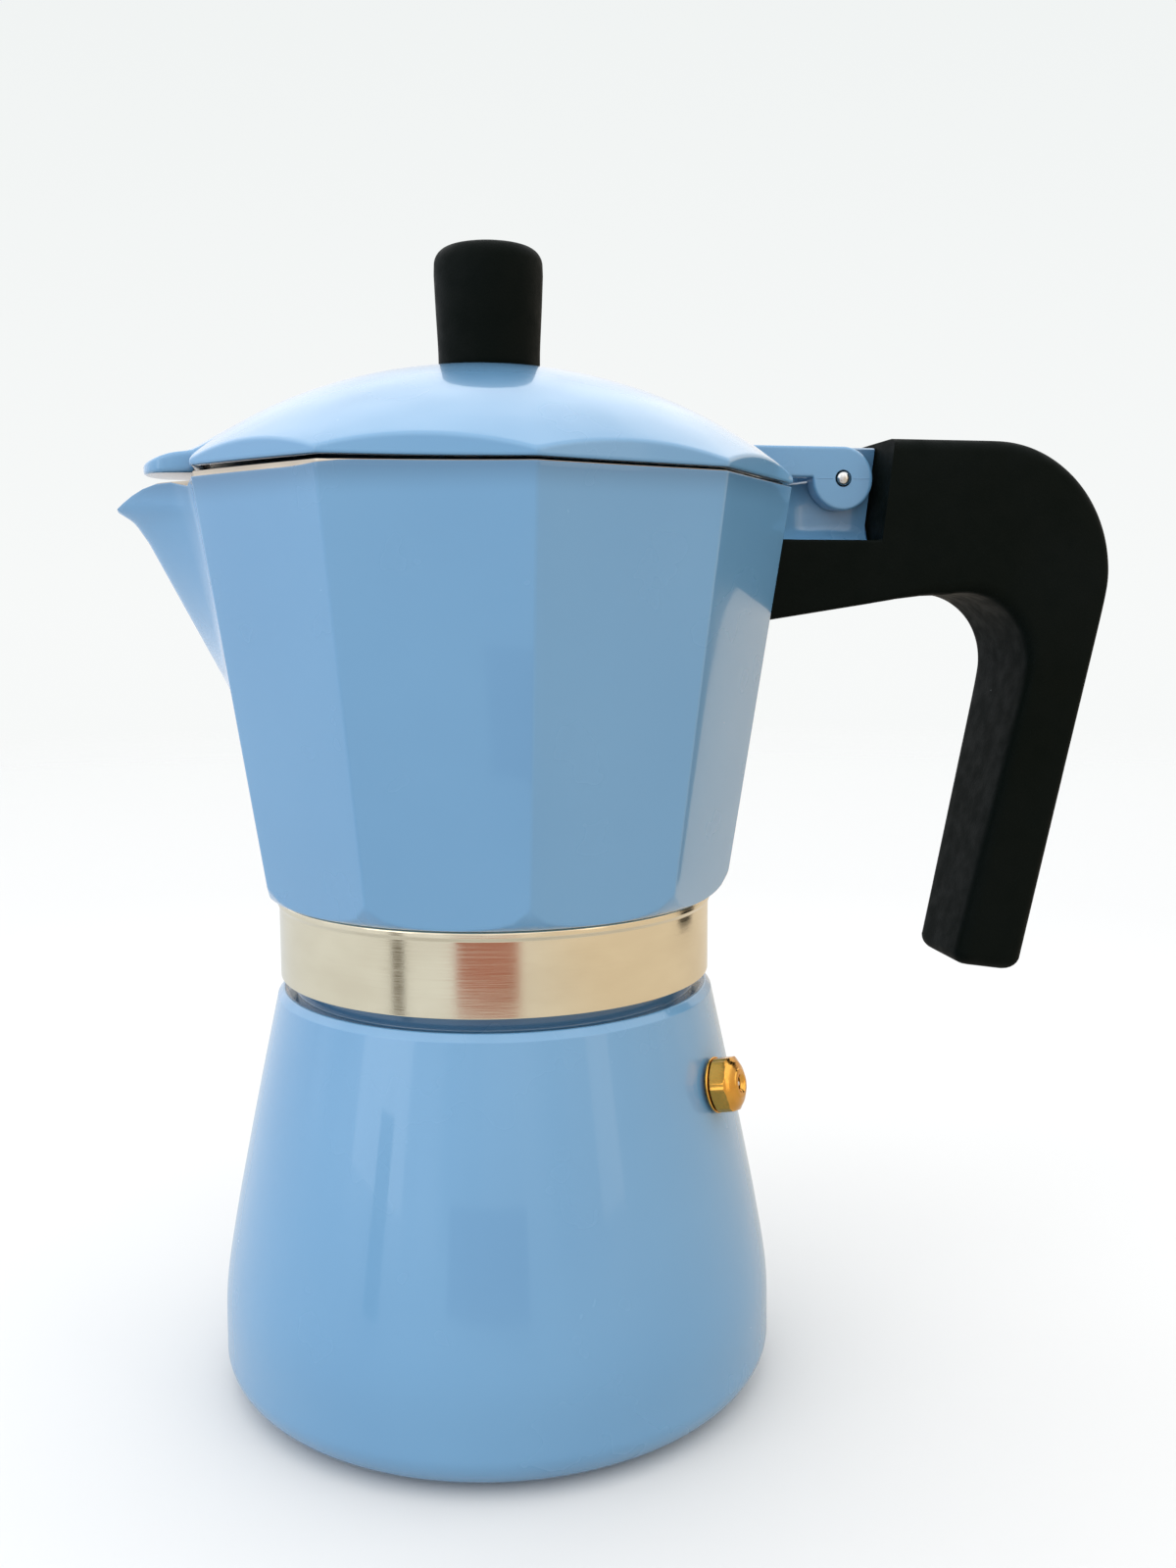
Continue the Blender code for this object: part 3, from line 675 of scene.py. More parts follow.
def makeValve():
    place = valveFrame()
    flats = valve["flats"]
    corner = flats / math.sqrt(3)
    shank = valve["shank"]
    root = [(2.0, -6.2, False), (shank, -6.2, False), (shank, 1.0, False)]
    chamfer = [(corner - 0.9 * (1 - t) ** 2, 1.0 + 0.5 * t, True) for t in np.linspace(0, 1, 7)]
    crown = [(corner - 0.75 * t**2, 3.4 + 0.6 * t, True) for t in np.linspace(0, 1, 7)]
    nose = [tuple(spot) for spot in curveThrough([(4.4, 4.15), (3.75, 4.65), (2.85, 4.98)], 9)]
    brim = [(2.65, 5.05), (2.5, 5.22), (2.25, 5.3), (1.75, 5.3), (1.55, 5.15)]
    bore = [(1.35, 4.95), (1.15, 4.6), (1.1, 3.8), (2.0, 3.8)]
    end = [(r, z, False) for r, z in nose + brim + bore]
    points = moved(nutPoints(root + chamfer + crown + end, flats, valve["hexagonTurn"]), place)
    body = meshOf("valve_hexagon", points, [finishes["brass"]], sharp=24)
    keep(body, "boiler_body", "brass", "valve_body")

    washer = [(3.5, 0.35, 0.1), (4.9, 0.35, 0.15), (4.9, 0.8, 0.18), (3.5, 0.8, 0.1)]
    keep(turned("valve_ring", washer, ["brass"], 72, place), "boiler_body", "brass", "valve_washer")

    wallSide = -boiler["wall"] - 0.9
    nut = [(3.5, -5.9, False), (4.5, -5.9, True)]
    nut += [(5.2 - 0.5 * (1 - t) ** 2, -5.9 + 0.45 * t, True) for t in np.linspace(0, 1, 5)]
    nut += [(5.2 - 0.5 * t**2, wallSide - 0.45 * (1 - t), True) for t in np.linspace(0, 1, 5)]
    nut += [(4.5, wallSide, True), (3.5, wallSide, False)]
    points = moved(nutPoints(nut, 9.0, 0), place)
    keep(meshOf("valve_locknut", points, [finishes["brass"]], sharp=24), "boiler_body", "brass", "valve_nut")

    seat = [(0.9, -6.1, 0.1), (1.7, -6.1, 0.1), (1.7, -4.8, 0.1), (0.9, -4.8, 0.25)]
    keep(turned("valve_seat_ring", seat, ["brass"], 48, place), "boiler_body", "brass", "valve_seat")

    pin = [(0, -4.4, 0), (1.0, -4.4, 0.2), (1.6, -3.8, 0.2), (1.6, -3.1, 0.15), (0.75, -3.1, 0.1)]
    pin += [(0.75, 4.45, 0.25), (0.3, 4.8, 0.15), (0, 4.8, 0)]
    stem = turned("valve_stem", pin, ["steel"], 40, place, closed=False)
    keep(stem, "valve_pin_body", "steel", "valve_pin")

    spring = coil(1.35, 0.22, -2.5, 3.3, 5)
    piece = meshOf("valve_coil", moved(spring, place), [finishes["steel"]], wrapRows=False)
    keep(piece, "boiler_body", "steel", "valve_spring")
    root, out = valvePlace()
    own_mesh(piece)


def coil(radius, wire, low, high, turns, across=12):
    # A round wire along a helix; its end rows shrink to a point.
    t = np.linspace(0, 1, 36 * turns + 1)
    angle = t * turns * tau
    spine = np.stack([radius * np.cos(angle), radius * np.sin(angle), low + t * (high - low)], 1)
    out = np.stack([np.cos(angle), np.sin(angle), 0 * angle], 1)
    rise = (high - low) / (turns * tau * radius)
    up = np.stack([np.sin(angle) * rise, -np.cos(angle) * rise, 1 + 0 * angle], 1) / math.hypot(1, rise)
    around = np.arange(across) * tau / across
    size = np.full(len(t), wire)
    rings = spine[:, None] + size[:, None, None] * (
        out[:, None] * np.cos(around)[None, :, None] + up[:, None] * np.sin(around)[None, :, None]
    )
    first, last = np.repeat(spine[:1, None], across, 1), np.repeat(spine[-1:, None], across, 1)
    return np.concatenate([first, rings, last])


# ---- funnel and seal ----

holes = {"rings": [(4.6, 6), (9.0, 12), (13.4, 18), (17.8, 24), (22.2, 30)], "radius": 0.75}


def perforated(name, radius, low, high, look):
    corners = [(0, high, 0), (radius, high, 0.15), (radius, low, 0.15), (0, low, 0)]
    disc = turned(name, corners, [look], closed=False)
    shapes = bmesh.new()
    for ring, count in holes["rings"]:
        for i in range(count):
            x, y = ring * math.cos(tau * i / count), ring * math.sin(tau * i / count)
            place = Matrix.Translation(Vector((x, y, (low + high) / 2)) * mm)
            bmesh.ops.create_cone(
                shapes,
                cap_ends=True,
                segments=12,
                radius1=holes["radius"] * mm,
                radius2=holes["radius"] * mm,
                depth=(high - low + 2) * mm,
                matrix=place,
            )
    if not shapes.verts:
        shapes.free()
        return disc
    mesh = bpy.data.meshes.new(name + "_holes")
    shapes.to_mesh(mesh)
    shapes.free()
    cutter = bpy.data.objects.new(name + "_holes", mesh)
    show(cutter)
    cutAway(disc, [cutter])
    return disc


def makeFunnel():
    flange = boxOf("funnel")[1][2]
    brim = 35.6
    outer = [(brim, flange, 0.35), (brim, flange - 0.9, 0.35), (31.9, flange - 0.9, 0.4), (31.6, 86.0, 0.3)]
    outer += [(31.6, 62.5, 2.5), (29.5, 60.4, 2.0), (8.0, 52.0, 5.0), (4.9, 49.0, 4.0), (4.7, 6.6, 0.3)]
    inner = [(3.8, 6.6, 0.3), (3.8, 49.6, 4.0), (7.4, 53.0, 5.0), (28.8, 61.6, 1.0), (28.8, 64.0, 0.2)]
    inner += [(30.8, 64.0, 0.2), (30.8, flange, 0.4)]
    keep(turned("funnel_bowl", outer + inner, ["spun"], 144), "funnel_body", "bare_aluminium", "funnel")
    low, high = boxOf("funnel_screen")
    screen = perforated("funnel_sieve", high[0], low[2], high[2], "spun")
    keep(screen, "funnel_body", "bare_aluminium", "funnel_screen")


def makeSeal():
    low, high = boxOf("gasket")
    ring = [(29.8, low[2], 0.8), (high[0], low[2], 0.8), (high[0], high[2], 0.8), (29.8, high[2], 0.8)]
    keep(turned("gasket_ring", ring, ["rubber"], 144), "seal_body", "seal_rubber", "gasket")
    low, high = boxOf("filter_plate")
    keep(perforated("filter_disc", high[0], low[2], high[2], "steel"), "seal_body", "steel", "filter_plate")


# ---- collector ----

collector = {
    "corner": 54.0,  # from the axis to a corner, at the rim
    "flare": 0.155,  # millimetres of corner distance for each millimetre of height
    "rounding": 0.030,  # of the corners, as a share of the distance to them
    "wall": 2.2,
    "floor": 94.7,
    "roundTop": 97.5,  # height at which the turned neck would stand straight
    "roundReach": 4.3,
    "bareRim": 0.9,  # height of the unpainted edge
    "spout": [(45.84, 125.5, 0), (59.9, 153.2, 7.0), (62.2, 156.7, 5.0), (65.5, 158.8, 0)],
    "spoutDip": (56.3, 4.3),  # where the rim starts to fall towards the tip, and by how much
    "spoutWidth": 0.86,  # of its root, as a share of the facet
    "rimLift": 0.75,  # as a share of the lid's
}
half = math.pi / 10


def decagon(angles, rounding):
    # Distance to a ten-sided outline whose sharp corners would be 1 away. Its corners are arcs of this
    # radius: on an arc the distance is where a ray meets a circle centred on the corner's own line.
    apothem = math.cos(half)
    centre = (apothem - rounding) / math.cos(half)
    touch = math.atan((apothem - rounding) * math.tan(half) / apothem)
    away = np.abs((angles - half) % (2 * half) - half)
    lean = half - away
    flat = apothem / np.cos(away)
    bend = centre * np.cos(lean) + np.sqrt(np.maximum(rounding**2 - (centre * np.sin(lean)) ** 2, 0))
    return np.where(away < touch, flat, bend)


def facetColumns(rounding, flatCount=17, bendCount=4):
    # Angles round the pot: a few on each corner's arc and the rest on the flats, closer together near a
    # facet's middle.
    apothem = math.cos(half)
    touch = half - math.atan((apothem - rounding) * math.tan(half) / apothem)
    across = np.linspace(-1, 1, flatCount + 2)
    across = np.sign(across) * np.abs(across) ** 1.6
    flats = half + (half - touch) * across[1:-1]
    corner = np.linspace(0, touch, bendCount)
    facet = np.concatenate([corner, flats, 2 * half - corner[:0:-1]])
    return (half + np.arange(10)[:, None] * 2 * half + facet).ravel()


angles = facetColumns(collector["rounding"])
cosines, sines = np.cos(angles), np.sin(angles)
spoutAway = np.abs(angles - math.pi)


def cornerReach(z):
    return collector["corner"] - collector["flare"] * (rimHeight - z)


rimHeight = 162.9


def spoutReach(z, inset):
    profile, _ = softened(collector["spout"], 10, closed=False)
    return np.interp(z, profile[:, 1], profile[:, 0]) - inset * 1.25


def wallPlace(z, inset):
    # The plan at each height: a decagon, or, where it stands further out, the two straight walls of the
    # spout, which run from the facet's edges to the ridge. The ridge is rounded like a hyperbola.
    reach = cornerReach(z) - inset / math.cos(half)
    radius = reach * decagon(angles, collector["rounding"])
    x, y = radius * cosines, radius * sines
    edgeX = reach * math.cos(half) - 0.15
    edgeY = reach * math.sin(half) * collector["spoutWidth"]
    share = np.clip(np.abs(y) / edgeY, 0, 1)
    soft = 0.10
    peak = (math.sqrt(1 + soft**2) - np.sqrt(share**2 + soft**2)) / (math.sqrt(1 + soft**2) - soft)
    ridge = spoutReach(z, inset)
    out = edgeX + (ridge - edgeX) * peak
    grows = (z > collector["spout"][0][1]) & (np.abs(y) < edgeY) & (x < 0) & (ridge > edgeX)
    return np.where(grows, -np.maximum(-x, out), x), y


def makeCollector():
    base = boxOf("collector")[0][2]
    drop = collector["roundTop"] - base
    collarReach = 39.45

    def turnedReach(z):
        fallen = (collector["roundTop"] - z) / drop
        return collarReach + collector["roundReach"] * np.sqrt(np.clip(1 - fallen**2, 0, 1))

    # Where the turned neck and each column's flat meet, by halving an interval.
    under, over = np.full(len(angles), base), np.full(len(angles), collector["roundTop"])
    for _ in range(40):
        middle = (under + over) / 2
        inside = turnedReach(middle) < cornerReach(middle) * decagon(angles, collector["rounding"])
        under, over = np.where(inside, middle, under), np.where(inside, over, middle)
    crease = under
    lean = np.arccos(np.clip((collector["roundTop"] - crease) / drop, -1, 1))
    rows, rowLooks = [], []

    def addRow(x, y, z, look):
        rows.append(np.stack([x, y, z + 0 * x], -1))
        rowLooks.append(look)

    def addWall(z, inset, look):
        x, y = wallPlace(z, inset)
        addRow(x, y, z, look)

    for reach in (34.5, 36.0, collarReach - 0.3):
        addRow(reach * cosines, reach * sines, np.full(len(angles), base), 0 if reach > 36.0 else 1)
    for t in (0.02, 0.1, 0.2, 0.32, 0.44, 0.56, 0.68, 0.8, 0.9, 0.96):
        z = collector["roundTop"] - drop * np.cos(lean * t)
        addRow(turnedReach(z) * cosines, turnedReach(z) * sines, z, 0)
    # The rim dips towards the spout's tip.
    dipStart, dip = collector["spoutDip"]
    rimX, _ = wallPlace(np.full(len(angles), collector["spout"][-1][1]), 0)
    fall = dip * np.clip((-rimX - dipStart) / (collector["spout"][-1][0] - dipStart), 0, 1) ** 1.9
    # Everywhere but on the spout the rim rises a little towards it, as the lid does.
    offSpout = smoothStep(half - 0.05, half - 0.01, spoutAway)
    rim = rimHeight - fall + collector["rimLift"] * lidLift(rimX) * offSpout
    # The bare edge is masked unevenly: it shows beside the spout, and paint almost covers it everywhere else.
    rimSide = smoothStep(-36, -26, rimX)
    bareRim = collector["bareRim"] * (1 - 0.85 * rimSide) * (1 - 0.85 * smoothStep(51.9, 53.5, -rimX))
    paintTop = rim - bareRim
    soften = 0.32  # of the crease between neck and flats, and of the painted edge
    low = (0.0, 0.006, 0.014, 0.03, 0.06, 0.1)  # shares of the wall's height, closer together at its crease
    for t in (*low, *np.linspace(0.15, 0.78, 20), *np.linspace(0.80, 0.985, 22)):
        addWall(crease + soften * 0.5 + (paintTop - crease) * t, 0, 0)
    for lift, inset in ((0.22, 0.0), (0.12, 0.03), (0.04, 0.10), (0.0, 0.2)):
        addWall(paintTop - lift, inset, 0)
    rowLooks[-1] = 1
    for lift, inset in ((0.0, 0.38), (0.06, 0.42), (0.62, 0.42), (0.80, 0.47), (0.88, 0.60), (0.9, 0.85)):
        addWall(paintTop + lift * bareRim / 0.9, inset, 1)
    for lift, inset in ((0.0, 1.7), (0.05, 1.95), (0.25, 2.15), (0.6, collector["wall"])):
        addWall(rim - lift, inset, 1)
    for t in np.linspace(0.02, 0.97, 30):
        addWall(rim - (rim - collector["roundTop"] - 0.5) * t, collector["wall"], 1)
    for reach, z in ((39.4, 96.2), (37.6, 95.2), (35.5, collector["floor"]), (20.0, 94.7), (9.7, 94.7)):
        addRow(reach * cosines, reach * sines, np.full(len(angles), z), 1)
    hole = 6.3
    for reach, z in ((hole + 0.3, 94.7), (hole, 94.4), (hole, 92.0), (hole + 0.3, 91.7), (33.9, 91.7)):
        addRow(reach * cosines, reach * sines, np.full(len(angles), z), 1)
    addRow(34.5 * cosines, 34.5 * sines, np.full(len(angles), 91.5), 1)
    looks = [finishes["collector"], finishes["rim"]]
    shell = meshOf("collector_shell", np.stack(rows), looks, rowLooks, sharp=40)
    keep(shell, "collector_body", "painted_collector", "collector")


bracket = {
    "tongue": 3.2,  # half thickness
    "flareWidth": 8.6,
    "knuckle": 5.4,
    "low": 154.2,
    "top": 171.5,
    "end": 72.05,
}


def makeBracket():
    # Rows run from the wall to the handle. Each is a rounded upright oblong whose sides flare out at the
    # wall and along the bottom, in fillets.
    pinX, pinZ = hinge["x"], hinge["z"]
    knuckle = bracket["knuckle"]
    rise = arc((pinX, pinZ), (knuckle, knuckle), 180, 82, 14)
    crest = [(50.0, 162.2), (51.9, 162.5), (52.7, 164.6), (56.4, 164.9), (58.6, 165.2), *rise]
    crest = np.array(crest + [(66.2, bracket["top"]), (72.1, bracket["top"])])
    stations = [np.linspace(50.6, 59, 22), rise[:, 0], np.linspace(65.2, bracket["end"], 8)]
    along = np.unique(np.concatenate(stations))
    top = np.interp(along, crest[:, 0], crest[:, 1])
    t = np.linspace(0, 1, 15)
    low = bracket["low"]
    side = low + (top[:, None] - 0.5 - low) * t**1.6
    wall = (bracket["flareWidth"] - bracket["tongue"]) * np.clip((59.2 - along) / 8.6, 0, 1) ** 2.2
    foot = 2.1 * np.clip(1 - (side - low) / 2.6, 0, 1) ** 2.2 * smoothStep(50, 56, along)[:, None]
    width = bracket["tongue"] + np.maximum(wall[:, None], 0) + foot
    capY = np.array([0.86, 0.5, 0.0, -0.5, -0.86])
    capZ = np.array([0.34, 0.5, 0.5, 0.5, 0.34])
    capWidth = width[:, -1:] * capY
    capHeight = top[:, None] - 0.5 + capZ
    flatY = width[:, :1] * np.array([-0.9, -0.4, 0.4, 0.9])
    y = np.concatenate([width, capWidth, -width[:, ::-1], flatY], 1)
    z = np.concatenate([side, capHeight, side[:, ::-1], low + 0 * flatY], 1)
    x = along[:, None] + 0.125 * (z - bracket["top"]) * smoothStep(58, 72, along)[:, None]
    points = np.stack([x, y, z], -1)
    hub = points.mean(1, keepdims=True) + 0 * points
    points = np.concatenate([hub[:1], points, hub[-1:]])
    piece = meshOf("hinge_bracket", points, [finishes["collector"]], wrapRows=False, sharp=50)
    keep(piece, "collector_body", "painted_collector", "collector")


def makeCollar():
    base, top, radius = boxOf("threaded_collar")[0][2], boxOf("collector")[0][2] - 0.02, 39.45
    outer = [(radius, base, 0.2), (radius, top - 1.7, 0.3), (radius + 0.35, top - 1.1, 0.35)]
    outer += [(radius + 0.3, top, 0.5), (37.1, top, 0.3)]
    bore = [(37.1, z, 0) for z in np.arange(top - 1.0, base + 0.9, -0.28)]
    depth, pitch = 0.5, boiler["threadPitch"]

    def ripple(angles, height, radiusHere):
        phase = height / pitch - angles / tau
        groove = 0.5 + 0.5 * np.tanh(2.6 * np.cos(tau * phase))
        ends = smoothStep(base + 0.8, base + 1.8, height) * (1 - smoothStep(top - 2.5, top - 1.5, height))
        return depth * groove * ends * (radiusHere < 37.2)

    corners = outer + bore + [(37.1, base, 0.35)]
    band = turned("collar_band", corners, ["band"], 192, ripple=ripple)
    keep(band, "collector_body", "collar_metal", "threaded_collar")


def makeColumn():
    low, high = boxOf("riser_column")
    foot = [(6.0, low[2], 0.3), (6.0, 95.0, 0.1), (9.5, 95.0, 0.3), (9.5, 96.2, 0.5)]
    tube = [(7.6, 98.0, 1.0), (6.8, 102.0, 3.0), (5.5, high[2], 0.4), (3.3, high[2], 0.3), (3.3, low[2], 0.3)]
    keep(turned("column_tube", foot + tube, ["cast"], 96), "collector_body", "bare_aluminium", "riser_column")
    low, high = boxOf("column_cap")
    crown = [(0, high[2], 0)] + [(*spot, 0) for spot in arc((0, 145.0), (6.8, high[2] - 145.0), 80, 8, 9)]
    skirt = [(6.8, 145.0, 0), (7.0, low[2], 0.3), (5.9, low[2], 0.3), (5.9, 144.0, 0.5), (4.0, 146.6, 1.0)]
    cap = turned("cap_dome", crown + skirt + [(0, 147.6, 0)], ["cast"], 96, closed=False)
    cutAway(cap, [block("cap_gap", (-2.6, -9, 143.6), (2.6, 9, 146.0), "cast")])
    keep(cap, "collector_body", "bare_aluminium", "column_cap")


# ---- lid ----

lid = {
    "corner": 54.2,
    "domeTop": 184.1,
    "sphere": 84.5,
    "low": 163.4,
    "wall": 2.0,
    "screwWay": 2.3,
    "lift": (1.90, -27.0, 12.0),  # the most, where it is half of that, and over what length it fades
    "lip": (-55.6, 4.7, 7.6),  # centre, half length and half width of its round end
    "lipCrest": [
        (-60.4, 166.4), (-53.1, 168.8), (-49.7, 170.6), (-43.0, 174.3), (-36.2, 177.4), (-28.5, 179.3)
    ],
}
place = joints["lid_hinge"]["pos_m"]
hinge = {"x": place[0] / mm, "z": place[2] / mm, "ear": 5.8, "outer": 7.2, "inner": 3.6, "pin": 1.25}


def domeHeight(radius):
    return lid["domeTop"] - lid["sphere"] + np.sqrt(lid["sphere"] ** 2 - np.square(radius))


def lidLift(x):
    # The lid sits a little proud towards the spout.
    most, middle, reach = lid["lift"]
    return most / (1 + np.exp((x - middle) / reach))


def makeLid():
    edge = lid["corner"] * decagon(angles, collector["rounding"])
    innerEdge = edge - lid["wall"]
    rows = []

    def addRow(radius, z):
        rows.append(np.stack([radius * cosines, radius * sines, z + lidLift(radius * cosines)], -1))

    way = lid["screwWay"]
    for t in np.linspace(0, 1, 44):
        radius = way + (edge - 0.55 - way) * t
        addRow(radius, domeHeight(radius))
    # The scalloped edge: a curve from the dome to the skirt, bent towards the corner between them.
    start, corner, end = domeHeight(edge - 0.55), domeHeight(edge), domeHeight(edge) - 0.5
    for t in np.linspace(0.2, 1, 5):
        radius = (1 - t) ** 2 * (edge - 0.55) + (1 - (1 - t) ** 2) * edge
        addRow(radius, (1 - t) ** 2 * start + 2 * t * (1 - t) * corner + t**2 * end)
    low = lid["low"]
    for t in (0.15, 0.4, 0.7, 0.95):
        addRow(edge, end + (low + 0.5 - end) * t)
    for inset, lift in ((0.0, 0.35), (0.08, 0.14), (0.22, 0.03), (0.4, 0.0)):
        addRow(edge - inset, np.full(len(angles), low + lift))
    for inset, lift in ((-0.3, 0.0), (-0.08, 0.08), (0.0, 0.3)):
        addRow(innerEdge - inset, np.full(len(angles), low + lift))
    ceiling = domeHeight(innerEdge) - lid["wall"]
    addRow(innerEdge, (low + ceiling) / 2)
    for t in np.linspace(0, 1, 22):
        radius = innerEdge + (way - innerEdge) * t
        addRow(radius, domeHeight(radius) - lid["wall"])
    keep(
        meshOf("lid_dome", np.stack(rows), [finishes["enamel"]], sharp=44), "lid_body", "painted_lid", "lid"
    )


def makeLip():
    # A thumb plate with a round end, which runs up the dome as a narrowing ridge until it sinks into it.
    centre, length, width = lid["lip"]
    end = arc((centre, 0), (length, width), 108, 252, 41)
    side = curveThrough([end[-1], (-51.5, -8.2), (-44.0, -7.0), (-36.0, -5.0), (-29.0, -2.4)], 25)[1:]
    outline = np.vstack([end, side, side[::-1] * (1, -1)])
    spine = np.stack([np.clip(outline[:, 0], centre, -29.6), 0 * outline[:, 0]], 1)
    crest = curveThrough(lid["lipCrest"], 60)
    low, high = 164.7, 166.5

    def lay(x, y, level):
        top = np.interp(x, crest[:, 0], crest[:, 1]) - 0.02 * y**2 * smoothStep(-56, -50, x)
        sunk = domeHeight(np.hypot(x, y)) + lidLift(x) - 1.0
        bottom = low + (sunk - low) * smoothStep(-51.6, -50.4, x)
        return np.stack([x, y, bottom + (top - bottom) * (level - low) / (high - low)], -1)

    piece = plate("thumb_lip", outline, low, high, 0.5, "enamel", spine, lay, sharp=40)
    keep(piece, "lid_body", "painted_lid", "lid")


def makeEars():
    x, z, ear = hinge["x"], hinge["z"], hinge["ear"]
    top = z + ear
    knuckle = arc((x, z), (ear, ear), 186, 450, 60)
    corners = [(44.6, top), (44.6, 168.6), (50.2, z + 0.2), (x - ear + 0.02, z + 0.2)]
    outline = np.vstack([corners, knuckle, [(60.0, top), (52.0, top)]])

    def lay(a, b, level):
        return np.stack([a, level, b], -1)

    outer = hinge["outer"]
    arm = plate("lid_ears", outline, -outer, outer, 0.55, "enamel", (60.6, 168.0), lay, sharp=40)
    slot = block("ear_gap", (55.4, -hinge["inner"], 150), (80, hinge["inner"], 180), "enamel")
    way = drill("pin_way", hinge["pin"] + 0.32, (x, -12, z), (x, 12, z), "enamel")
    cutAway(arm, [slot, way])
    keep(arm, "lid_body", "painted_lid", "lid")
    for side in (-1, 1):
        name = "parting_line_front" if side < 0 else "parting_line_back"
        face = side * (hinge["outer"] - 0.02)
        t = np.linspace(0, 1, 24)
        spine = x - ear * 0.96 + t * ear * 1.92
        around = np.arange(8) * tau / 8
        size = 0.11 * np.sqrt(np.clip(1 - (2 * t - 1) ** 8, 0, 1)) * (np.abs(spine - x) > hinge["pin"] + 0.45)
        points = np.stack(
            [
                spine[:, None] + 0 * around,
                face + size[:, None] * np.cos(around),
                z + size[:, None] * np.sin(around),
            ],
            -1,
        )
        line = meshOf(name, points, [finishes["enamel"]], wrapRows=False)
        keep(line, "lid_body", "painted_lid", "lid")


def makePin():
    # The pin's own Z runs along the hinge, towards the back.
    place = Matrix.Translation((hinge["x"], 0, hinge["z"])) @ Matrix.Rotation(-math.pi / 2, 4, "X")
    radius = hinge["pin"]
    dome = [(*spot, 0) for spot in arc((0, 7.15), (radius, 0.75), 0, 90, 10)]
    corners = [(r, -z, 0) for r, z, _ in dome[::-1]] + dome
    rod = turned("hinge_rod", corners, ["steel"], 48, place, closed=False)
    keep(rod, "collector_body", "steel", "hinge_pin")


knob = {"widest": 9.7, "edge": 2.9}


def makeKnob():
    sphere = lid["sphere"] + 0.3
    middle = lid["domeTop"] - lid["sphere"]

    def foot(radius):
        return middle + math.sqrt(sphere**2 - radius**2)

    top, edge = boxOf("knob")[1][2], knob["edge"]
    side = curveThrough([(9.05, foot(9.0) + 0.5), (9.12, 188.0), (9.45, 194.5), (knob["widest"], 200.4)], 18)
    crown = arc((knob["widest"] - 0.05 - edge, top - edge), (edge, edge), 4, 88, 14)
    corners = [(0, top, 0)] + [(*spot, 0) for spot in crown[::-1]] + [(*spot, 0) for spot in side[::-1]]
    corners += [(8.9, foot(8.9), 0), (6.0, foot(6.0), 0), (3.3, foot(3.3), 0.3)]
    corners += [(3.3, 197.5, 0.5), (0, 197.5, 0)]
    keep(turned("knob_grip", corners, ["plastic"], 128, closed=False), "lid_body", "black_plastic", "knob")
    low, high = boxOf("knob_insert")
    tube = [(1.9, low[2], 0.2), (high[0], low[2], 0.3), (high[0], high[2], 0.3), (1.9, high[2], 0.2)]
    keep(turned("knob_bush", tube, ["brass"], 64), "lid_body", "brass", "knob_insert")
    washer = flatRing("knob_ring", "knob_washer", boxOf("knob_washer")[1][0], 0)
    keep(washer, "lid_body", "steel", "knob_washer")
    keep(screwUp("knob_bolt", "knob_screw", 2.4, 0), "lid_body", "steel", "knob_screw")


def flatRing(name, node, reach, x):
    # A steel washer as thick as its node.
    (_, _, base), (_, _, top) = boxOf(node)
    ring = [(2.0, base, 0.15), (reach, base, 0.25), (reach, top, 0.25), (2.0, top, 0.15)]
    return turned(name, ring, ["steel"], 72, Matrix.Translation((x, 0, 0)))


def screwUp(name, node, headHeight, x):
    # A pan head screw that points up, with a straight slot across its head.
    low, high = boxOf(node)
    head, shank = (high[0] - low[0]) / 2, 1.6
    base, top = low[2], high[2]
    under = base + headHeight
    corners = [(0, top, 0), (shank, top, 0.5), (shank, under, 0.15), (head, under, 0.2), (head, base, 0.9)]
    corners += [(0, base, 0)]
    screw = turned(name, corners, ["steel"], 72, Matrix.Translation((x, 0, 0)), closed=False)
    slot = block(name + "_slot", (x - head - 1, -0.5, base - 1), (x + head + 1, 0.5, base + 0.9), "steel")
    cutAway(screw, [slot])
    return screw


# ---- handle ----

handle = {
    "notch": (70.3, 153.9),
    "top": 172.3,
    "width": 12.0,  # half of it, at the bend
    "taper": 0.0030,
    "screwX": 60.5,
    "edge": 2.4,
}


def handleLines():
    # The outer and the inner edge, matched point by point: along the arm, up the end face, round the bend
    # and down.
    notchX, notchZ = handle["notch"]
    top = handle["top"]

    def line(start, end, count):
        return np.linspace(start, end, count)

    lastRise = top - 2.6 + 2.45 * np.linspace(0.2, 1, 7) ** 0.7
    rise = np.concatenate([np.linspace(notchZ + 0.15, top - 2.6, 5), lastRise])
    face = np.stack([notchX + (rise - notchZ) * 0.117, rise], 1)
    outer = [line((50.36, notchZ), (notchX - 0.15, notchZ), 14), face]
    outer += [line((72.65, top), (93.0, top), 16)[:-1], arc((93.0, 148.0), (23.5, 24.3), 90, -6, 56)]
    outer += [line((116.2, 144.2), (101.9, 73.8), 30)]
    inner = [line((48.75, 139.4), (68.6, 142.4), 14), line((68.8, 142.45), (73.0, 143.1), 12)]
    inner += [line((73.2, 143.15), (82.4, 144.15), 16)[:-1], arc((87.4, 131.0), (12.9, 13.3), 108, -8, 56)]
    inner += [line((99.95, 127.6), (88.4, 76.0), 30)]
    return np.vstack(outer), np.vstack(inner)


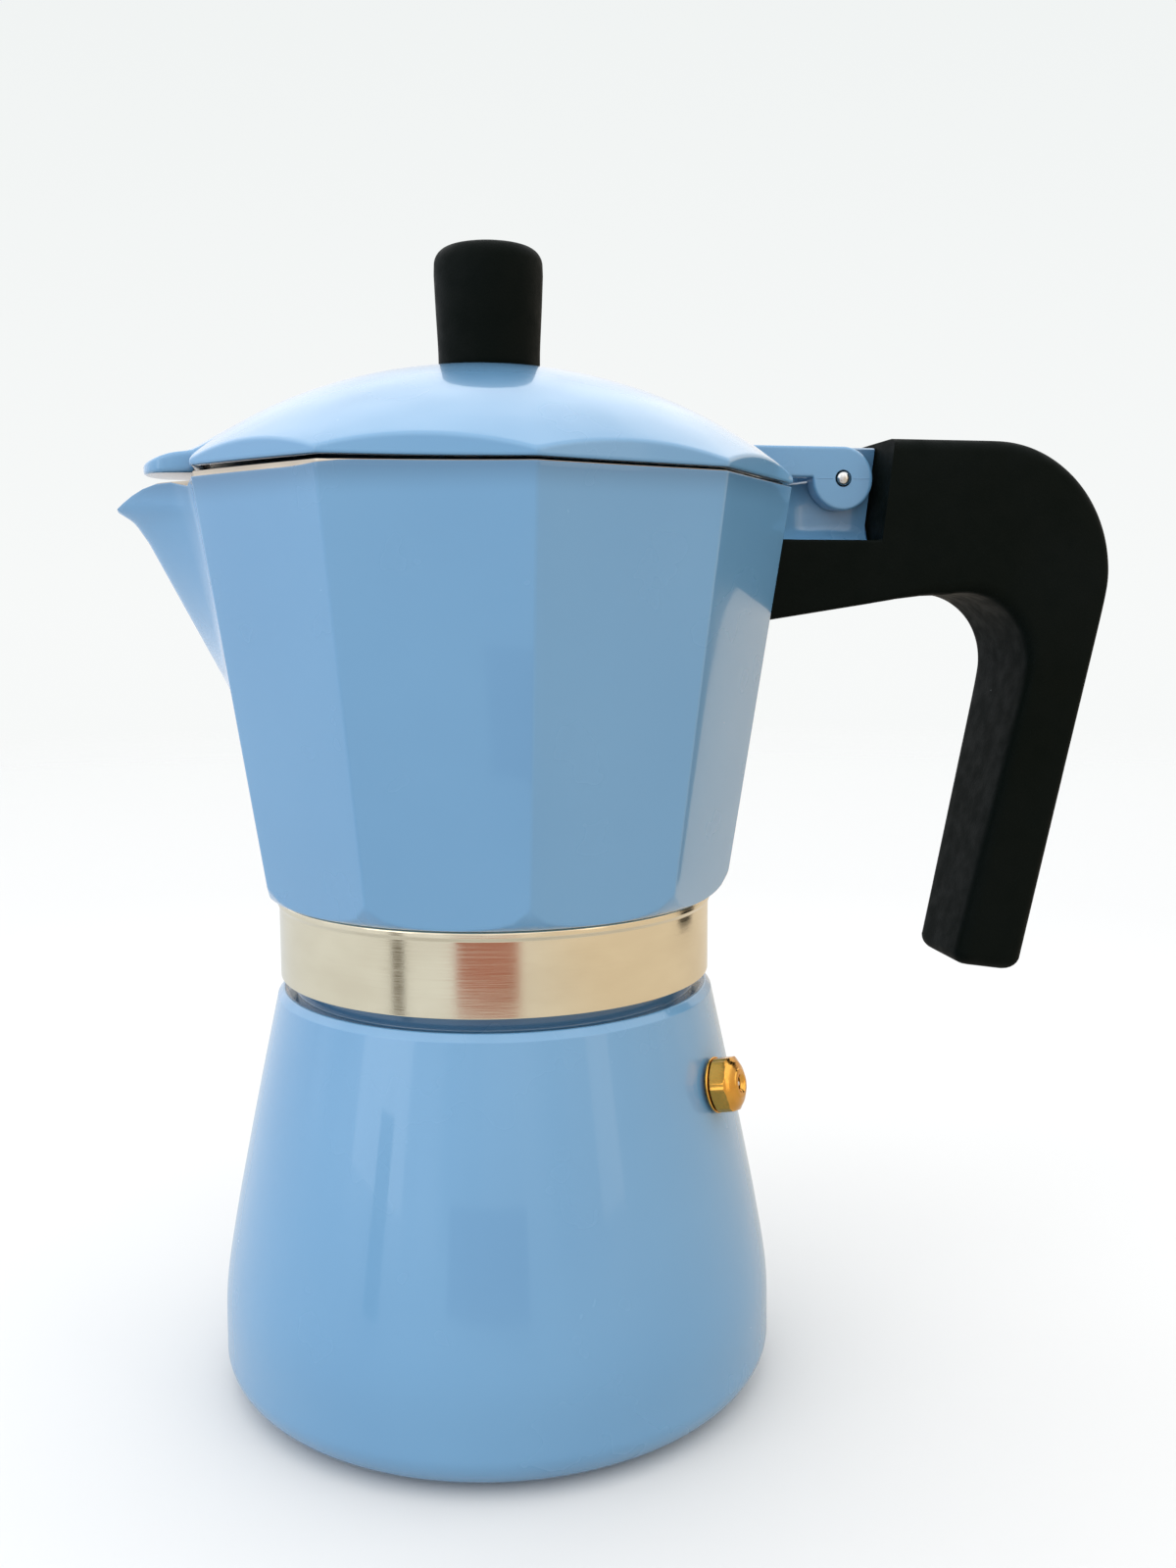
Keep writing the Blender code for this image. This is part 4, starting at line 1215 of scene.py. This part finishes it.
def makeHandle():
    outer, inner = handleLines()
    # Slightly smoothed, so that the arcs run into the straights, but the end face keeps its corners.
    smooth = np.arange(len(outer)) > 34
    for _ in range(6):
        for side in (outer, inner):
            calm = side.copy()
            calm[1:-1] = (side[:-2] + 2 * side[1:-1] + side[2:]) / 4
            side[smooth] = calm[smooth]
    count = len(outer)
    across = outer - inner
    length = np.linalg.norm(across, axis=1)
    unit = across / length[:, None]
    middle = (outer + inner) / 2
    narrowing = handle["taper"] * np.maximum(0, 140.0 - middle[:, 1]) * (middle[:, 0] > 84)
    width = handle["width"] * (1 - narrowing)
    t = np.arange(count)
    # The top's edges are round. Where the notch's face cuts across them, its upper corners follow that round.
    edge = handle["edge"]
    cut = edge - np.sqrt(np.maximum(edge**2 - np.maximum(outer[:, 1] - (handle["top"] - edge), 0) ** 2, 0))
    outerRound = np.where(t < 26, np.maximum(0.5, cut), edge)
    innerRound = 0.9 + 1.7 * smoothStep(20, 44, t)

    # The bottom end closes over a quarter turn.
    bend = np.linspace(0.15, math.pi / 2, 7)
    depth = 2.9
    tip = (middle[-1] - middle[-2]) / np.linalg.norm(middle[-1] - middle[-2])
    spots = list(zip(middle, unit, length / 2, width, outerRound, innerRound))
    for angle in bend:
        draw = depth * (1 - math.cos(angle))
        centre = middle[-1] + tip * depth * math.sin(angle)
        rounding = max(outerRound[-1] - draw * 0.5, 0.8)
        spots.append((centre, unit[-1], length[-1] / 2 - draw, width[-1] - draw, rounding, rounding))

    quarter = np.linspace(0, math.pi / 2, 7)
    rows = []
    for centre, direction, halfLength, halfWidth, outerR, innerR in spots:
        a, b = [], []
        flats = np.linspace(-1, 1, 7)[1:-1]
        # outer edge from back to front, front side, inner edge, back side
        a += list(halfLength - outerR * (1 - np.sin(quarter)))
        b += list(halfWidth - outerR * (1 - np.cos(quarter)))
        a += [halfLength] * len(flats)
        b += list(-flats * (halfWidth - outerR))
        a += list(halfLength - outerR * (1 - np.cos(quarter)))
        b += list(-(halfWidth - outerR * (1 - np.sin(quarter))))
        sideStart, sideEnd = halfLength - outerR, -(halfLength - innerR)
        sideRun = sideStart + (sideEnd - sideStart) * (flats + 1) / 2
        a += list(sideRun)
        b += [-halfWidth] * len(flats)
        a += list(-(halfLength - innerR * (1 - np.sin(quarter))))
        b += list(-(halfWidth - innerR * (1 - np.cos(quarter))))
        a += [-halfLength] * len(flats)
        b += list(flats * (halfWidth - innerR))
        a += list(-(halfLength - innerR * (1 - np.cos(quarter))))
        b += list(halfWidth - innerR * (1 - np.sin(quarter)))
        a += list(sideRun[::-1])
        b += [halfWidth] * len(flats)
        a, b = np.array(a), np.array(b)
        rows.append(np.stack([centre[0] + direction[0] * a, b, centre[1] + direction[1] * a], -1))
    points = np.stack(rows)
    for end in (0, -1):
        hub = points[end].mean(0)
        inwards = [hub + (points[end] - hub) * s for s in (0.9, 0.5, 0.0)]
        extra = np.stack(inwards)
        points = np.concatenate([extra[::-1], points]) if end == 0 else np.concatenate([points, extra])
    grip = meshOf("handle_grip", points, [finishes["plastic"]], wrapRows=False, sharp=50)
    x = handle["screwX"]
    recess = drill("screw_recess", 4.3, (x, 0, 130), (x, 0, 147), "plastic")
    cutAway(grip, [recess, drill("screw_hole", 2.0, (x, 0, 146), (x, 0, 160), "plastic")])
    keep(grip, "collector_body", "black_plastic", "handle")
    keep(flatRing("handle_ring", "handle_washer", 3.9, x), "collector_body", "steel", "handle_washer")
    keep(screwUp("handle_bolt", "handle_screw", 2.6, x), "collector_body", "steel", "handle_screw")


addCamera()
addSky()
addLamps()
addFloor()
addCards()
print("studio ready")
makeBoiler()
makeValve()
print("boiler and valve ready")
makeFunnel()
makeSeal()
print("funnel and seal ready")
makeCollector()
makeBracket()
makeCollar()
makeColumn()
print("collector ready")
makeLid()
makeLip()
makeEars()
makePin()
makeKnob()
print("lid and knob ready")
makeHandle()
print("handle ready")
